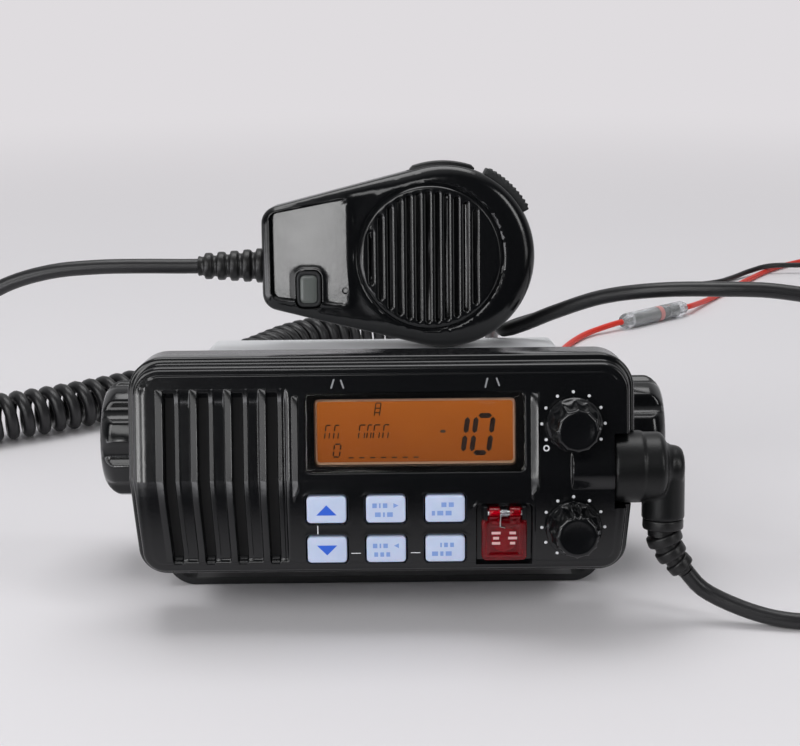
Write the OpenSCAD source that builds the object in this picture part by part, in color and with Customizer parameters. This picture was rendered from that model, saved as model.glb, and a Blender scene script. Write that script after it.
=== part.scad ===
// Fixed-mount marine radio with a tilting bracket, a fist microphone and its curly cord.
// The tilt axis runs along X through [0, 0, pivot_z], and the front faces -Y.

/* [Front panel] */
// Width of the front panel
panel_w = 160; // [156:1:168]
// Height of the front panel
panel_h = 70; // [68:1:76]
// Depth of the panel behind the edges of its face
panel_d = 24; // [22:1:28]
// Wall of the panel moulding
panel_wall = 2.5; // [2:0.1:3]
// Distance from the tilt axis to the edges of the face
reach = 60; // [58:1:66]
// How far the crease across the face stands in front of its edges
crease_out = 3.5; // [2.5:0.5:5]
// Height of the crease above the middle of the panel
crease_z = -3; // [-5:0.5:0]
// How far the raised face is set in from the rim
rim_inset = 2.2; // [1.6:0.2:3]
// How far the rim stands back from the raised face
rim_back = 6; // [4:0.5:8]
// Radius of the panel's top corners
corner_top = 11; // [8:0.5:13]
// Radius of the panel's bottom corners
corner_low = 9; // [7:0.5:12]
// How much each side draws in below the crease
side_taper = 2; // [0:0.5:3]

/* [Chassis] */
// Width of the chassis over its covers
chassis_w = 124; // [118:1:126]
// Height of the chassis top above the tilt axis
chassis_up = 30.5; // [29:0.5:32]
// Depth of the chassis bottom below the tilt axis
chassis_low = 27; // [26:0.5:29]
// Distance of the chassis back behind the tilt axis
chassis_back = 28; // [26:1:36]
// Wall of the casting
cast_wall = 3; // [2.5:0.5:4]
// Sheet thickness of the covers
cover_t = 1.2; // [1:0.1:1.6]
// Height of the top cover's sides
cover_leg = 16; // [14:0.5:16]
// Number of cooling fins
fins = 9; // [5:1:9]
// Pitch of the cooling fins
fin_pitch = 6; // [5:0.5:6]
// Thickness of a cooling fin
fin_t = 2; // [1.5:0.1:2.5]
// Length of the cooling fins
fin_d = 18; // [10:1:20]
// Height of the cooling fins
fin_h = 44; // [30:1:44]
// Thickness of the gasket behind the panel
gasket_t = 1; // [0.8:0.1:1.5]
// Width of the gasket
gasket_w = 8; // [7:0.5:9]
// Radius of the antenna socket's thread
antenna_r = 7.9; // [6:0.1:8]
// Length of the antenna socket's thread
antenna_len = 14; // [10:1:18]
// Thickness of the circuit boards
board_t = 1.6; // [1:0.1:2]

/* [Display] */
// Width of the display
lcd_w = 62; // [56:1:64]
// Height of the display
lcd_h = 20.3; // [16:0.1:21]
// Distance of the display's middle to the right of the panel's middle
lcd_x = 10.6; // [9:0.1:12]
// Height of the display above the panel's middle
lcd_z = 11.7; // [11:0.1:12.5]
// Border of the window round the display
window_border = 2.2; // [1.6:0.1:2.6]
// Thickness of the window
window_t = 1.2; // [0.8:0.1:1.4]
// Height of the two upright ribs beside the display
rib_out = 0.8; // [0.4:0.1:1.5]
// Thickness of the display cell
cell_t = 2; // [1.5:0.1:2.5]

/* [Keys] */
// Width of a key
key_w = 12.4; // [11:0.1:13]
// Height of a key
key_h = 8.6; // [7.5:0.1:9]
// Sideways pitch of the keys
key_pitch_x = 18.6; // [17:0.1:19]
// Upright pitch of the keys
key_pitch_z = 13.2; // [12.5:0.1:13.5]
// How far the keys stand out of the face
key_out = 1; // [0.6:0.1:1.6]
// Travel of a key
key_travel = 1; // [0.6:0.1:1.2]
// Height of the mat under the keys
mat_t = 1.5; // [1:0.1:2]

/* [Knobs] */
// Distance of the two knobs to the right of the panel's middle
knob_x = 60.1; // [59:0.1:61]
// Height of the volume knob above the panel's middle
volume_z = 14; // [13.5:0.1:15]
// Depth of the squelch knob below the panel's middle
squelch_z = 18.9; // [18:0.1:19.5]
// Radius of a knob's skirt
knob_r = 8.8; // [8:0.1:9]
// Radius of a knob's front
knob_front_r = 6.5; // [5.5:0.1:7]
// Length of a knob
knob_len = 12.6; // [11:0.1:14]
// Radius of the knob shafts
shaft_r = 3; // [2.5:0.1:3.2]
// Side of a potentiometer
pot_side = 11; // [9:0.5:11]

/* [Distress button] */
// Distance of the distress cover to the right of the panel's middle
cover_x = 38.4; // [38:0.1:39]
// Height of the cover's hinge above the panel's bottom edge
hinge_up = 21.4; // [21.2:0.1:21.6]
// Width of the distress cover
flap_w = 14.2; // [12:0.1:14.4]
// Length of the distress cover below its hinge
flap_len = 16.1; // [14:0.1:16.4]
// Radius of the cover's hinge barrel
barrel_r = 2; // [1.8:0.1:2.1]
// Radius of the hinge pin
pin_r = 0.8; // [0.7:0.05:1]
// Radius of the distress button
button_r = 4; // [3:0.1:4.5]

/* [Speaker] */
// Distance of the speaker to the left of the panel's middle
speaker_x = 49.2; // [49:0.1:50]
// Radius of the speaker
speaker_r = 23.5; // [20:0.5:24]
// Number of slots in front of the speaker
slots = 4; // [3:1:4]
// Pitch of the slots
slot_pitch = 10.8; // [9:0.1:11]
// Width of a slot
slot_w = 2.2; // [1.6:0.1:3]
// Depth of the hollow beside a slot
slot_sink = 1.2; // [0.8:0.1:1.6]

/* [Microphone plug] */
// Radius of the plug
plug_r = 11.5; // [11:0.1:12]
// Depth of the plug's axis below the panel's middle
plug_z = 1.2; // [1:0.1:1.6]
// Distance of the plug's inner end from the panel's middle
plug_x = 73.4; // [73:0.1:74]
// Radius of the socket boss on the face
boss_r = 10; // [9.5:0.1:10]
// How far the socket boss stands out of the crease
boss_out = 1.5; // [1:0.1:2]
// Radius of the plug's leg
leg_r = 6.8; // [6:0.1:7.5]
// Radius of the plug's pin
jack_r = 3; // [2.5:0.1:3.5]

/* [Bracket] */
// Height of the tilt axis above the surface
pivot_z = 44; // [43:1:50]
// Tilt of the radio, front up, in degrees
tilt = 8; // [6:1:10]
// Thickness of the bracket
bracket_t = 2.5; // [2:0.1:3]
// Width of the bracket front to back
bracket_d = 56; // [48:1:58]
// Radius outside the bracket's bends
bend_r = 10; // [7:0.5:12]
// Radius of the arms' round ends
arm_r = 13; // [11:0.5:13]
// Sideways pitch of the mounting holes
hole_pitch_x = 80; // [60:1:90]
// Front-to-back pitch of the mounting holes
hole_pitch_y = 36; // [28:1:38]
// Radius of the mounting holes
hole_r = 2.6; // [2:0.1:3]
// Length of the chassis bosses at the tilt axis
pivot_boss = 8.5; // [6:0.5:10]
// Thickness of the rubber washers
washer_t = 1; // [0.8:0.1:1.5]
// Radius of the clamp bolts
bolt_r = 3; // [2.5:0.1:4]
// Radius of the clamp knobs
clamp_r = 20; // [17:0.5:21]
// Length of the clamp knobs
clamp_len = 24; // [20:1:28]

/* [Microphone] */
// Radius of the microphone's round head
mic_r = 31.5; // [30:0.5:34]
// Depth of the microphone front to back
mic_d = 29; // [27:1:29]
// Distance of the head's middle to the right of the radio's middle
mic_x = 21.5; // [16:0.5:24]
// Distance of the microphone's face in front of the tilt axis
mic_front = 5; // [3:1:7]
// Distance from the head's middle to the end of the tail
tail_x = 62.5; // [58:0.5:64]
// Half the height of the tail
tail_half = 18; // [16:0.5:20]
// Wall of the microphone's shells
mic_wall = 2.2; // [1.8:0.1:2.5]
// Radius of the slotted disc
grille_r = 24.5; // [22:0.5:25]
// Number of slots in the disc
grille_slots = 12; // [8:1:13]
// Pitch of the slots in the disc
grille_pitch = 3.25; // [3:0.05:3.6]
// Travel of the push-to-talk bar
talk_travel = 1.5; // [1:0.1:1.6]
// Travel of the small key
small_travel = 0.8; // [0.5:0.1:1]

/* [Cords] */
// Diameter of the microphone cord
cord_d = 5.2; // [4.6:0.1:5.6]
// Outside diameter of the curls
curl_d = 21; // [20:0.5:22]
// Pitch of the curls
curl_pitch = 6.8; // [6.6:0.1:8]
// Diameter of a power lead
lead_d = 3.1; // [2.5:0.1:3.5]

/* [Fits] */
// Clearance round a turning shaft
run_gap = 0.05; // [0.03:0.01:0.08]
// Clearance round a sliding key or a cover
slide_gap = 0.3; // [0.2:0.05:0.35]

/* [Hidden] */
$fn = 48;

black = "#1b1c1e";
dark = "#2a2c2e";
steel = "#b8bcc0";
board_green = "#2f5d3a";

// The face: flat above the crease, an arc below it.
panel_back = panel_d - reach;
crease_y = -reach - crease_out;
low_drop = panel_h / 2 + crease_z;
low_r = (low_drop * low_drop + crease_out * crease_out) / (2 * crease_out);
up_slope = crease_out / (panel_h / 2 - crease_z);
function face_at(z) = z > crease_z ? crease_y + (z - crease_z) * up_slope
    : crease_y + low_r - sqrt(low_r * low_r - (crease_z - z) * (crease_z - z));
face_end = panel_h * 0.6;
face_steps = 8;
front_limit = -reach - 25;

arc_steps = 8;
function arc(x, z, r, a0, a1) =
    [for (i = [0:arc_steps]) let (a = a0 + (a1 - a0) * i / arc_steps) [x + r * cos(a), z + r * sin(a)]];

// Outline of the panel, drawn in by i.
function panel_outline(i) = let (
    a = panel_w / 2 - i,
    b = a - side_taper,
    h = panel_h / 2 - i,
    rt = corner_top - i,
    rb = corner_low - i
) concat(
    arc(a - rt, h - rt, rt, 0, 90), arc(rt - a, h - rt, rt, 90, 180), [[-a, crease_z]],
    arc(rb - b, rb - h, rb, 180, 270), arc(b - rb, rb - h, rb, 270, 360), [[a, crease_z]]
);

// Where the inner parts of the panel stand.
hollow_inset = rim_inset + panel_wall;
back_plate = 2;
board_front = panel_back - 11;
mat_front = board_front - mat_t;
key_back = mat_front - key_travel - slide_gap;
key_lip = 0.8;
window_w = lcd_w + 2 * window_border + 2;
window_h = lcd_h + 2 * window_border;
window_sink = 0.4;
cell_sink = panel_wall + slide_gap;
board_left = speaker_x - 1.7 - speaker_r;
board_right = plug_x - 3.4;
key_x = [lcd_x - 28, lcd_x - 28 + key_pitch_x, lcd_x - 28 + 2 * key_pitch_x];
key_low = hollow_inset + 0.5 + (key_h - panel_h) / 2;
key_z = [key_low + key_pitch_z, key_low];
rib_w = 1.4;
rib_left = lcd_x - window_w / 2 - 3.4;
rib_right = lcd_x + window_w / 2 + 2.9;
slot_z = -2;
slot_len = panel_h - 16;
hollow_w = 7.4;
speaker_front = face_at(speaker_r) + panel_wall + 1.6;
pot_d = 5;
pot_floor = 1.5;
shaft_front = crease_y - knob_len + 3;
knob_back = crease_y - 0.6;
plug_y = crease_y - boss_out + boss_r;
boss_x = knob_x - 0.5;
socket_r = 6.5;
socket_back = 10.5;
hinge_z = panel_h / 2 - hinge_up;
pin_y = face_at(-hinge_z) - barrel_r - 0.1;
lug_gap = 0.25;
barrel_w = 9.9;
lug_w = 1.6;
recess_w = flap_w + 3.2;
recess_sink = 1.6;
flap_out = 0.9;
recess_top = -hinge_z + 2.4;
recess_h = flap_len + 5.5;
button_z = -hinge_z - 9.4;

// Chassis, covers and screws.
chassis_front = panel_back + gasket_t;
chassis_mid = (chassis_up - chassis_low) / 2;
gasket_out = chassis_w - 4;
gasket_up = chassis_up + chassis_low - 4;
cast_half = chassis_w / 2 - cover_t;
cast_top = chassis_up - cover_t;
cast_low = cover_t - chassis_low;
cover_r = 3;
low_leg = chassis_low - arm_r - 0.5;
screw_r = 1.5;
screw_head = 2.8;
screw_ys = [chassis_front + 11, chassis_back - 10];
screw_zs = [chassis_up - 10.5, 7 - chassis_low];
post_r = 3.5;
post_x = cast_half - cast_wall - post_r + 0.5;
post_zs = [cast_top - post_r - 1.5, cast_low + post_r + 1.5];
post_d = 20;
deck_z = 11 - chassis_low;
deck_t = 2;
stand_h = 3;
board_z = deck_z + deck_t + stand_h;
board_w = chassis_w - 24;
board_d = chassis_back - chassis_front - 17;
board_y = chassis_front + 5;
fin_x = 5;
antenna_x = 24 - chassis_w / 2;
antenna_z = 4;
antenna_flange = 24;
flange_t = 2;
grommet_x = chassis_w / 2 - 18;
grommet_z = -8;
grommet_r = 5;
grommet_len = 8;

// Bracket and clamps, outwards from the chassis.
boss_face = cast_half + 1.2 + pivot_boss;
arm_in = boss_face + washer_t;
arm_out = arm_in + bracket_t;
bolt_in = cast_half - 10;
bolt_out = arm_out + clamp_len - 8;
hub_r = 11;
hub_len = 6;
cap_len = 4;
lobes = 8;

// Microphone, in its own place: head's middle at the origin, face at y = 0.
mic_gap = 0.3;
mic_split = 15;
tail_r = 6;
mic_edges = [[1.8, 0], [0.9, 0.5], [0.3, 1.2], [0, 2]];
tail_cx = tail_x - tail_r;
tail_cz = tail_half - tail_r;
tail_turn = 180 - atan2(tail_cz, tail_cx) - acos((mic_r - tail_r) / norm([tail_cx, tail_cz]));
function mic_outline(i) = concat(
    [for (k = [0:32]) let (a = tail_turn * (k / 16 - 1)) [(mic_r - i) * cos(a), (mic_r - i) * sin(a)]],
    [for (k = [0:6]) let (a = tail_turn + (180 - tail_turn) * k / 6)
        [-tail_cx + (tail_r - i) * cos(a), tail_cz + (tail_r - i) * sin(a)]],
    [for (k = [0:6]) let (a = 180 + (180 - tail_turn) * k / 6)
        [-tail_cx + (tail_r - i) * cos(a), -tail_cz + (tail_r - i) * sin(a)]]
);
grille_x = -4.5;
grille_shift = -2.5;
grille_slot = 1.7;
key_at = [-46.5, -10.6];
small_w = 8.4;
small_h = 12.4;
mic_posts = [[-56.5, 0], [16, -21], [-14, 21]];
mic_post_r = 3;
mic_board_size = [64, 28];
mic_board_at = [-19, -2];
mic_board_back = mic_split - 1.4;
talk_a = [70, 111];
rocker_a = [28, 63];
talk_y = [6, 22];
talk_in = mic_r - 4.8;
talk_out = mic_r + 1.3;
rocker_in = mic_r - 4.5;
rocker_out = mic_r + 2.8;
mic_boot_y = 12;
mic_boot_z = -3;
mic_boot_len = 23;
mic_boot_r = 6;
hanger_len = 6;

// Places on the tilted radio, for what leaves it.
function placed(p) = [
    p[0],
    p[1] * cos(tilt) + p[2] * sin(tilt),
    pivot_z - p[1] * sin(tilt) + p[2] * cos(tilt)
];
mic_z = chassis_up + mic_gap + mic_r;
mic_exit = placed([mic_x - tail_x - mic_boot_len, mic_boot_y - mic_front, mic_z + mic_boot_z]);
boot_turn = [-90, -70, -58, -48];
boot_seg = 5;
boot_top = -18;
function boot_at(k) = k == 0 ? [plug_x + 16.1, boot_top]
    : boot_at(k - 1) + boot_seg * [cos(boot_turn[k - 1]), sin(boot_turn[k - 1])];
boot_tip = boot_at(4);
plug_exit = placed([boot_tip[0], plug_y, boot_tip[1]]);
plug_dir = placed([cos(boot_turn[3]), 0, sin(boot_turn[3])]) - [0, 0, pivot_z];
lead_dir = [0, cos(tilt), -sin(tilt)];
lead_gap = 4;
red_exit = placed([grommet_x + lead_gap / 2, chassis_back + grommet_len, grommet_z]);
black_exit = placed([grommet_x - lead_gap / 2, chassis_back + grommet_len, grommet_z]);

// Curly part: its axis runs along two arcs on the surface.
curl_start = [-192, 120, 11];
curl_head = 20;
bow_r = 252;
bow_turn = 42;
hook_r = 70;
hook_turn = 82;
bow_len = bow_r * bow_turn * PI / 180;
hook_len = hook_r * hook_turn * PI / 180;
curl_len = bow_len + hook_len;
curl_rings = 8;
curl_mean = (curl_d - cord_d) / 2;
bow_mid = [curl_start[0] - bow_r * sin(curl_head), curl_start[1] + bow_r * cos(curl_head)];
bow_end = bow_mid + bow_r * [sin(curl_head + bow_turn), -cos(curl_head + bow_turn)];
hook_mid = bow_end + hook_r * [sin(curl_head + bow_turn), -cos(curl_head + bow_turn)];
function heading(s) = s < bow_len ? curl_head + bow_turn * s / bow_len
    : curl_head + bow_turn - hook_turn * (s - bow_len) / hook_len;
function axis_at(s) = let (h = heading(s)) s < bow_len
    ? [bow_mid[0] + bow_r * sin(h), bow_mid[1] - bow_r * cos(h), curl_start[2]]
    : [hook_mid[0] - hook_r * sin(h), hook_mid[1] + hook_r * cos(h), curl_start[2]];
function ramp(s) = min(1, max(0, (s - cord_d) / curl_pitch), max(0, (curl_len - cord_d - s) / curl_pitch));
function curl_point(s) = let (h = heading(s), a = 360 * s / curl_pitch, r = curl_mean * ramp(s))
    axis_at(s) + r * [-sin(h) * cos(a), cos(h) * cos(a), sin(a)];
curl_steps = floor(curl_rings * curl_len / curl_pitch);
curl_path = [for (i = [0:curl_steps]) curl_point(curl_len * i / curl_steps)];
curl_end = axis_at(curl_len);
end_dir = [cos(heading(curl_len)), sin(heading(curl_len)), 0];
start_dir = [cos(curl_head), sin(curl_head), 0];
gap_window = 2 * curl_rings + 2;
curl_gap = min([for (i = [0:curl_steps], j = [i + curl_rings - 1:min(curl_steps, i + gap_window)])
    norm(curl_path[i] - curl_path[j])]) - cord_d;
echo("least gap of the curly cord to itself", curl_gap);

// Routes of the free cords, ring by ring, in round numbers.
lead_route = concat([mic_exit, mic_exit - [cord_d, 0, 0]], [
    [-84, 15, 102], [-100, 15, 101.8], [-116, 15, 100.3], [-132, 15.5, 95.6], [-146, 17, 87],
    [-159, 20, 76], [-172, 26, 62], [-185, 34, 47], [-197, 44, 32], [-208, 56, 19],
    [-217, 71, 11], [-222, 86, 9], [-219, 101, 9.7], [-209, 112, 10.7]
], [curl_start - cord_d * start_dir, curl_start]);
tail_route = concat([curl_end, curl_end + cord_d * end_dir], [
    [44, 265, 8.4], [55, 252, 4], [58, 234, 2.7], [57, 200, 2.7], [54, 168, 2.9],
    [51, 145, 8.5], [47, 122, 24], [44, 99, 45], [42, 76, 63], [42, 56, 73], [42.5, 42, 74.6],
    [44, 30, 73.8], [50, 27, 76.2], [61, 20, 82.6], [77, 10.5, 90.3], [95, 0, 95],
    [114, -6, 96.5], [134, -9, 96.2], [153, -12, 92.5], [169, -16, 83], [181, -22, 67],
    [189, -33, 47], [189, -44, 28], [181, -56, 13], [168, -65, 4.5], [150, -69, 2.8],
    [130, -68, 2.7], [117, -65, 4.8]
], [plug_exit + 1.5 * cord_d * plug_dir, plug_exit]);
fuse_from = [126, 312, 4.3];
fuse_to = [165, 343, 4.3];
fuse_r = 4.2;
holder_wall = 1;
holder_end = 7;
fuse_len = norm(fuse_to - fuse_from);
fuse_way = (fuse_to - fuse_from) / fuse_len;
red_near = concat([red_exit, red_exit + lead_d * lead_dir], [
    [47, 52, 23], [50, 76, 12.5], [54, 102, 4], [60, 132, 1.7], [72, 198, 1.7], [86, 255, 1.7],
    [98, 285, 1.7], [108, 299, 2.4]
], [fuse_from - lead_d * fuse_way, fuse_from]);
red_far = concat([fuse_to, fuse_to + lead_d * fuse_way], [
    [178, 362, 2.6], [190, 381, 1.7], [216, 421, 1.7], [240, 454, 1.7], [262, 474, 1.7]
]);
black_route = concat([black_exit, black_exit + lead_d * lead_dir], [
    [42, 50, 24], [43, 76, 11], [44, 104, 3], [46, 200, 1.7], [52, 286, 1.7], [65, 320, 1.7],
    [86, 345, 1.7], [110, 372, 1.7], [139, 394, 1.7], [170, 407, 1.7], [196, 416, 1.7],
    [208, 427, 1.9], [221, 439, 3.2], [234, 445, 5], [262, 446, 5]
]);

// Placement.
module on_radio() {
    translate([0, 0, pivot_z])
        rotate([-tilt, 0, 0])
            children();
}

module on_mic() {
    on_radio()
        translate([mic_x, -mic_front, mic_z])
            children();
}

// Extrudes an x-z outline from y0 back to y1.
module along_y(y0, y1) {
    translate([0, y1, 0])
        rotate([90, 0, 0])
            linear_extrude(y1 - y0)
                children();
}

// Extrudes a y-z outline from x0 to x1.
module along_x(x0, x1) {
    translate([x0, 0, 0])
        rotate([90, 0, 90])
            linear_extrude(x1 - x0)
                children();
}

module round_rect(w, h, r) {
    square([w - 2 * r, h], center = true);
    square([w, h - 2 * r], center = true);
    for (x = [-1, 1], z = [-1, 1])
        translate([x * (w / 2 - r), z * (h / 2 - r)])
            circle(r, $fn = 24);
}

module rod_y(x, z, r, y0, y1) {
    along_y(y0, y1)
        translate([x, z])
            circle(r);
}

module rod_x(y, z, r, x0, x1) {
    along_x(x0, x1)
        translate([y, z])
            circle(r);
}

// Everything behind the face, moved back by o.
module behind_face(o) {
    along_x(-panel_w, panel_w)
        translate([o, 0])
            polygon(concat(
                [[reach, -face_end], [reach, face_end], [face_at(face_end), face_end]],
                [for (i = [0:face_steps]) let (z = crease_z - (face_end + crease_z) * i / face_steps)
                    [face_at(z), z]]
            ));
}

// A plate that follows the face, from o0 to o1 behind it.
module face_plate(o0, o1) {
    difference() {
        intersection() {
            along_y(front_limit, board_front)
                children();
            behind_face(o0);
        }
        behind_face(o1);
    }
}

// A block from o behind the face back to y1.
module face_block(o, y1) {
    intersection() {
        along_y(front_limit, y1)
            children();
        behind_face(o);
    }
}

module at(x, z) {
    translate([x, z])
        children();
}

// Front panel.
module panel_cuts() {
    for (i = [0:slots - 1]) {
        x = (i - (slots - 1) / 2) * slot_pitch - speaker_x;
        along_y(front_limit, panel_back - 10)
            at(x, slot_z)
                round_rect(slot_w, slot_len, slot_w / 2 - 0.1);
        face_plate(-10, slot_sink)
            at(x + hollow_w / 2, slot_z)
                round_rect(hollow_w, slot_len, 1);
    }
    face_plate(-10, window_sink + window_t)
        at(lcd_x, lcd_z)
            round_rect(window_w, window_h, 2);
    along_y(front_limit, board_front)
        at(lcd_x, lcd_z)
            round_rect(lcd_w + 1, lcd_h + 1, 1);
    for (x = key_x, z = key_z)
        along_y(front_limit, board_front)
            at(x, z)
                round_rect(key_w + 2 * slide_gap, key_h + 2 * slide_gap, 1.6);
    for (z = [volume_z, -squelch_z])
        rod_y(knob_x, z, shaft_r + 0.8, front_limit, board_front);
    face_plate(-10, recess_sink)
        at(cover_x, recess_top - recess_h / 2)
            round_rect(recess_w, recess_h, 1.5);
    rod_y(cover_x, button_z, button_r + slide_gap, front_limit, board_front);
    rod_x(plug_y, -plug_z, plug_r + 0.6, plug_x - 0.2, panel_w);
    rod_x(plug_y, -plug_z, socket_r + run_gap, plug_x - 0.2 - socket_back, panel_w);
    for (x = [-1, 1], z = post_zs)
        rod_y(x * post_x, z, screw_r + 0.3, panel_back - back_plate - 1, panel_back + 1);
}

module front_panel() {
    color(black) on_radio() difference() {
        union() {
            difference() {
                union() {
                    face_block(rim_back, panel_back)
                        polygon(panel_outline(0));
                    face_block(0, panel_back)
                        polygon(panel_outline(rim_inset));
                    for (x = [rib_left, rib_right])
                        face_block(-rib_out, board_front)
                            at(x, lcd_z - 4.7)
                                round_rect(rib_w, lcd_h + 13.3, 0.6);
                }
                face_block(panel_wall, panel_back - back_plate)
                    polygon(panel_outline(hollow_inset));
                along_y(board_front, panel_back + 1)
                    at(0, chassis_mid)
                        round_rect(gasket_out - 2 * gasket_w - 2, gasket_up - 2 * gasket_w - 2, 2);
            }
            for (x = [3 - board_left, board_right - 3], z = [-1, 1])
                face_block(1, board_front)
                    at(x, z * (panel_h / 2 - 8))
                        circle(2);
            for (x = [-1, 1], z = [-1, 1])
                face_block(1, speaker_front)
                    at(x * (speaker_r - 2.5) - speaker_x, slot_z + 8 * z)
                        circle(2);
            intersection() {
                rod_x(plug_y, -plug_z, boss_r, boss_x, plug_x + 1);
                along_y(front_limit, board_front - 0.4)
                    square(2 * panel_w, center = true);
            }
            intersection() {
                rod_x(plug_y, -plug_z, plug_r + 2.8, plug_x - 2.4, panel_w / 2 - 1);
                face_block(0, panel_back)
                    polygon(panel_outline(rim_inset));
            }
        }
        difference() {
            panel_cuts();
            for (s = [-1, 1])
                distress_lug(s, pin_r + 1.2);
        }
        rod_x(pin_y, -hinge_z, pin_r + run_gap, cover_x - recess_w / 2, cover_x + recess_w / 2);
    }
}

// One of the two lugs that hold the distress cover's pin.
module distress_lug(s, r) {
    x0 = s > 0 ? cover_x + barrel_w / 2 + lug_gap : cover_x - barrel_w / 2 - lug_gap - lug_w;
    rod_x(pin_y, -hinge_z, r, x0, x0 + lug_w);
    along_x(x0, x0 + lug_w)
        translate([pin_y, -hinge_z - r])
            square([face_at(-hinge_z) + recess_sink - pin_y + 0.5, 2 * r]);
}

module front_gasket() {
    color(black) on_radio() along_y(panel_back, chassis_front) difference() {
        at(0, chassis_mid)
            round_rect(gasket_out, gasket_up, 4);
        at(0, chassis_mid)
            round_rect(gasket_out - 2 * gasket_w, gasket_up - 2 * gasket_w, 2);
        for (x = [-1, 1], z = post_zs)
            at(x * post_x, z)
                circle(screw_r + 0.3);
    }
}

module panel_screws() {
    color(steel) on_radio() for (x = [-1, 1], z = post_zs) {
        rod_y(x * post_x, z, screw_r, panel_back - back_plate, panel_back + 10);
        rod_y(x * post_x, z, screw_head, panel_back - back_plate - 1.6, panel_back - back_plate);
    }
}

// Display.
module display_lens() {
    color([0.9, 0.9, 0.9, 0.35]) on_radio() face_plate(window_sink, window_sink + window_t)
        at(lcd_x, lcd_z)
            round_rect(window_w - 0.2, window_h - 0.2, 1.9);
}

module lcd_cell() {
    color("#b4642a") on_radio() face_plate(cell_sink, cell_sink + cell_t)
        at(lcd_x, lcd_z)
            round_rect(lcd_w + 4, lcd_h + 4, 1);
}

module backlight() {
    color("#d8d8d0") on_radio() face_block(cell_sink + cell_t, board_front)
        at(lcd_x, lcd_z)
            round_rect(lcd_w + 4, lcd_h + 4, 1);
}

module front_board() {
    color(board_green) on_radio() along_y(board_front, board_front + board_t)
        translate([-board_left, 6 - panel_h / 2])
            square([board_left + board_right, panel_h - 12]);
}

module keypad_mat() {
    color("#8a8f94") on_radio() along_y(mat_front, board_front)
        translate([-board_left, key_low - key_h / 2 - 0.5])
            square([board_left + cover_x - button_r - 3, key_pitch_z + key_h + 1]);
}

// A key: its cap follows the face and a lip behind the wall keeps it in.
module key(i, j) {
    color("#dfe6f2") on_radio() {
        face_block(-key_out, key_back)
            at(key_x[i], key_z[j])
                round_rect(key_w, key_h, 1.3);
        face_block(panel_wall + slide_gap, key_back)
            at(key_x[i], key_z[j])
                square([key_w + 2 * key_lip, key_h - 2 * slide_gap], center = true);
    }
}

module up_key() key(0, 0);
module right_key() key(1, 0);
module channel_key() key(2, 0);
module down_key() key(0, 1);
module left_key() key(1, 1);
module watch_key() key(2, 1);

// Controls: potentiometer on the board, shaft out through the face, knob on the shaft.
module pot(z) {
    color(steel) on_radio() difference() {
        along_y(board_front - pot_d, board_front)
            at(knob_x, z)
                square(pot_side, center = true);
        rod_y(knob_x, z, shaft_r + run_gap, board_front - pot_d - 1, board_front - pot_floor);
    }
}

module shaft(z) {
    color(steel) on_radio()
        rod_y(knob_x, z, shaft_r, shaft_front, board_front - pot_floor - run_gap);
}

module knob(z, flutes) {
    color(black) on_radio() translate([knob_x, knob_back, z]) rotate([90, 0, 0]) difference() {
        rotate_extrude()
            polygon([
                [shaft_r + run_gap, 0], [knob_r, 0], [knob_r, 1.6], [knob_r - 1, 2.8],
                [knob_front_r + 0.6, knob_len - 1], [knob_front_r, knob_len], [0, knob_len],
                [0, knob_len - 2], [shaft_r + run_gap, knob_len - 2]
            ]);
        for (i = [0:flutes - 1])
            rotate(360 * (i + 0.5) / flutes)
                translate([knob_r + 0.3, 0, 3])
                    cylinder(h = knob_len, r = 1.3, $fn = 16);
    }
}

module volume_pot() pot(volume_z);
module volume_shaft() shaft(volume_z);
module volume_knob() knob(volume_z, 12);
module squelch_pot() pot(-squelch_z);
module squelch_shaft() shaft(-squelch_z);
module squelch_knob() knob(-squelch_z, 12);

// Distress button under its hinged cover.
module distress_cover() {
    color([0.75, 0.05, 0.1, 0.7]) on_radio() difference() {
        union() {
            rod_x(pin_y, -hinge_z, barrel_r, cover_x - barrel_w / 2, cover_x + barrel_w / 2);
            translate([cover_x - barrel_w / 2, pin_y, -hinge_z - 4.5])
                cube([barrel_w, barrel_r, 4.5]);
            difference() {
                face_plate(-flap_out, recess_sink - slide_gap)
                    flap_outline(0);
                face_plate(0.2, recess_sink)
                    flap_outline(1.2);
            }
        }
        rod_x(pin_y, -hinge_z, pin_r + run_gap, cover_x - flap_w, cover_x + flap_w);
    }
}

module flap_outline(i) {
    at(cover_x, -hinge_z - (flap_len + 2.3) / 2)
        round_rect(flap_w - 2 * i, flap_len - 2.3 - 2 * i, 1);
}

module distress_pin() {
    color(steel) on_radio()
        rod_x(pin_y, -hinge_z, pin_r, cover_x - barrel_w / 2 - lug_w, cover_x + barrel_w / 2 + lug_w);
}

module distress_button() {
    color("#d9d9d9") on_radio() {
        face_block(0.2 + slide_gap, key_back)
            at(cover_x, button_z)
                circle(button_r);
        face_block(panel_wall + slide_gap, key_back)
            at(cover_x, button_z)
                circle(button_r + key_lip);
    }
}

// Speaker behind the slots.
module speaker_frame() {
    color(dark) on_radio() difference() {
        union() {
            rod_y(-speaker_x, slot_z, speaker_r, speaker_front, speaker_front + 2);
            translate([-speaker_x, speaker_front + 2, slot_z])
                rotate([-90, 0, 0])
                    cylinder(h = 7, r1 = speaker_r - 1.5, r2 = 14);
            rod_y(-speaker_x, slot_z, 14, speaker_front + 9, speaker_front + 15);
        }
        translate([-speaker_x, speaker_front, slot_z])
            rotate([-90, 0, 0])
                translate([0, 0, -1])
                    cylinder(h = 9, r1 = speaker_r - 2, r2 = 12);
    }
}

module speaker_cone() {
    color("#3a3a3a") on_radio() translate([-speaker_x, speaker_front, slot_z]) rotate([-90, 0, 0])
        rotate_extrude()
            polygon([
                [0, 5.2], [6, 5.6], [11, 6.2], [speaker_r - 5.4, 1.2], [speaker_r - 5.4, 2],
                [11.4, 7], [0, 7.9]
            ]);
}

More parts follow.
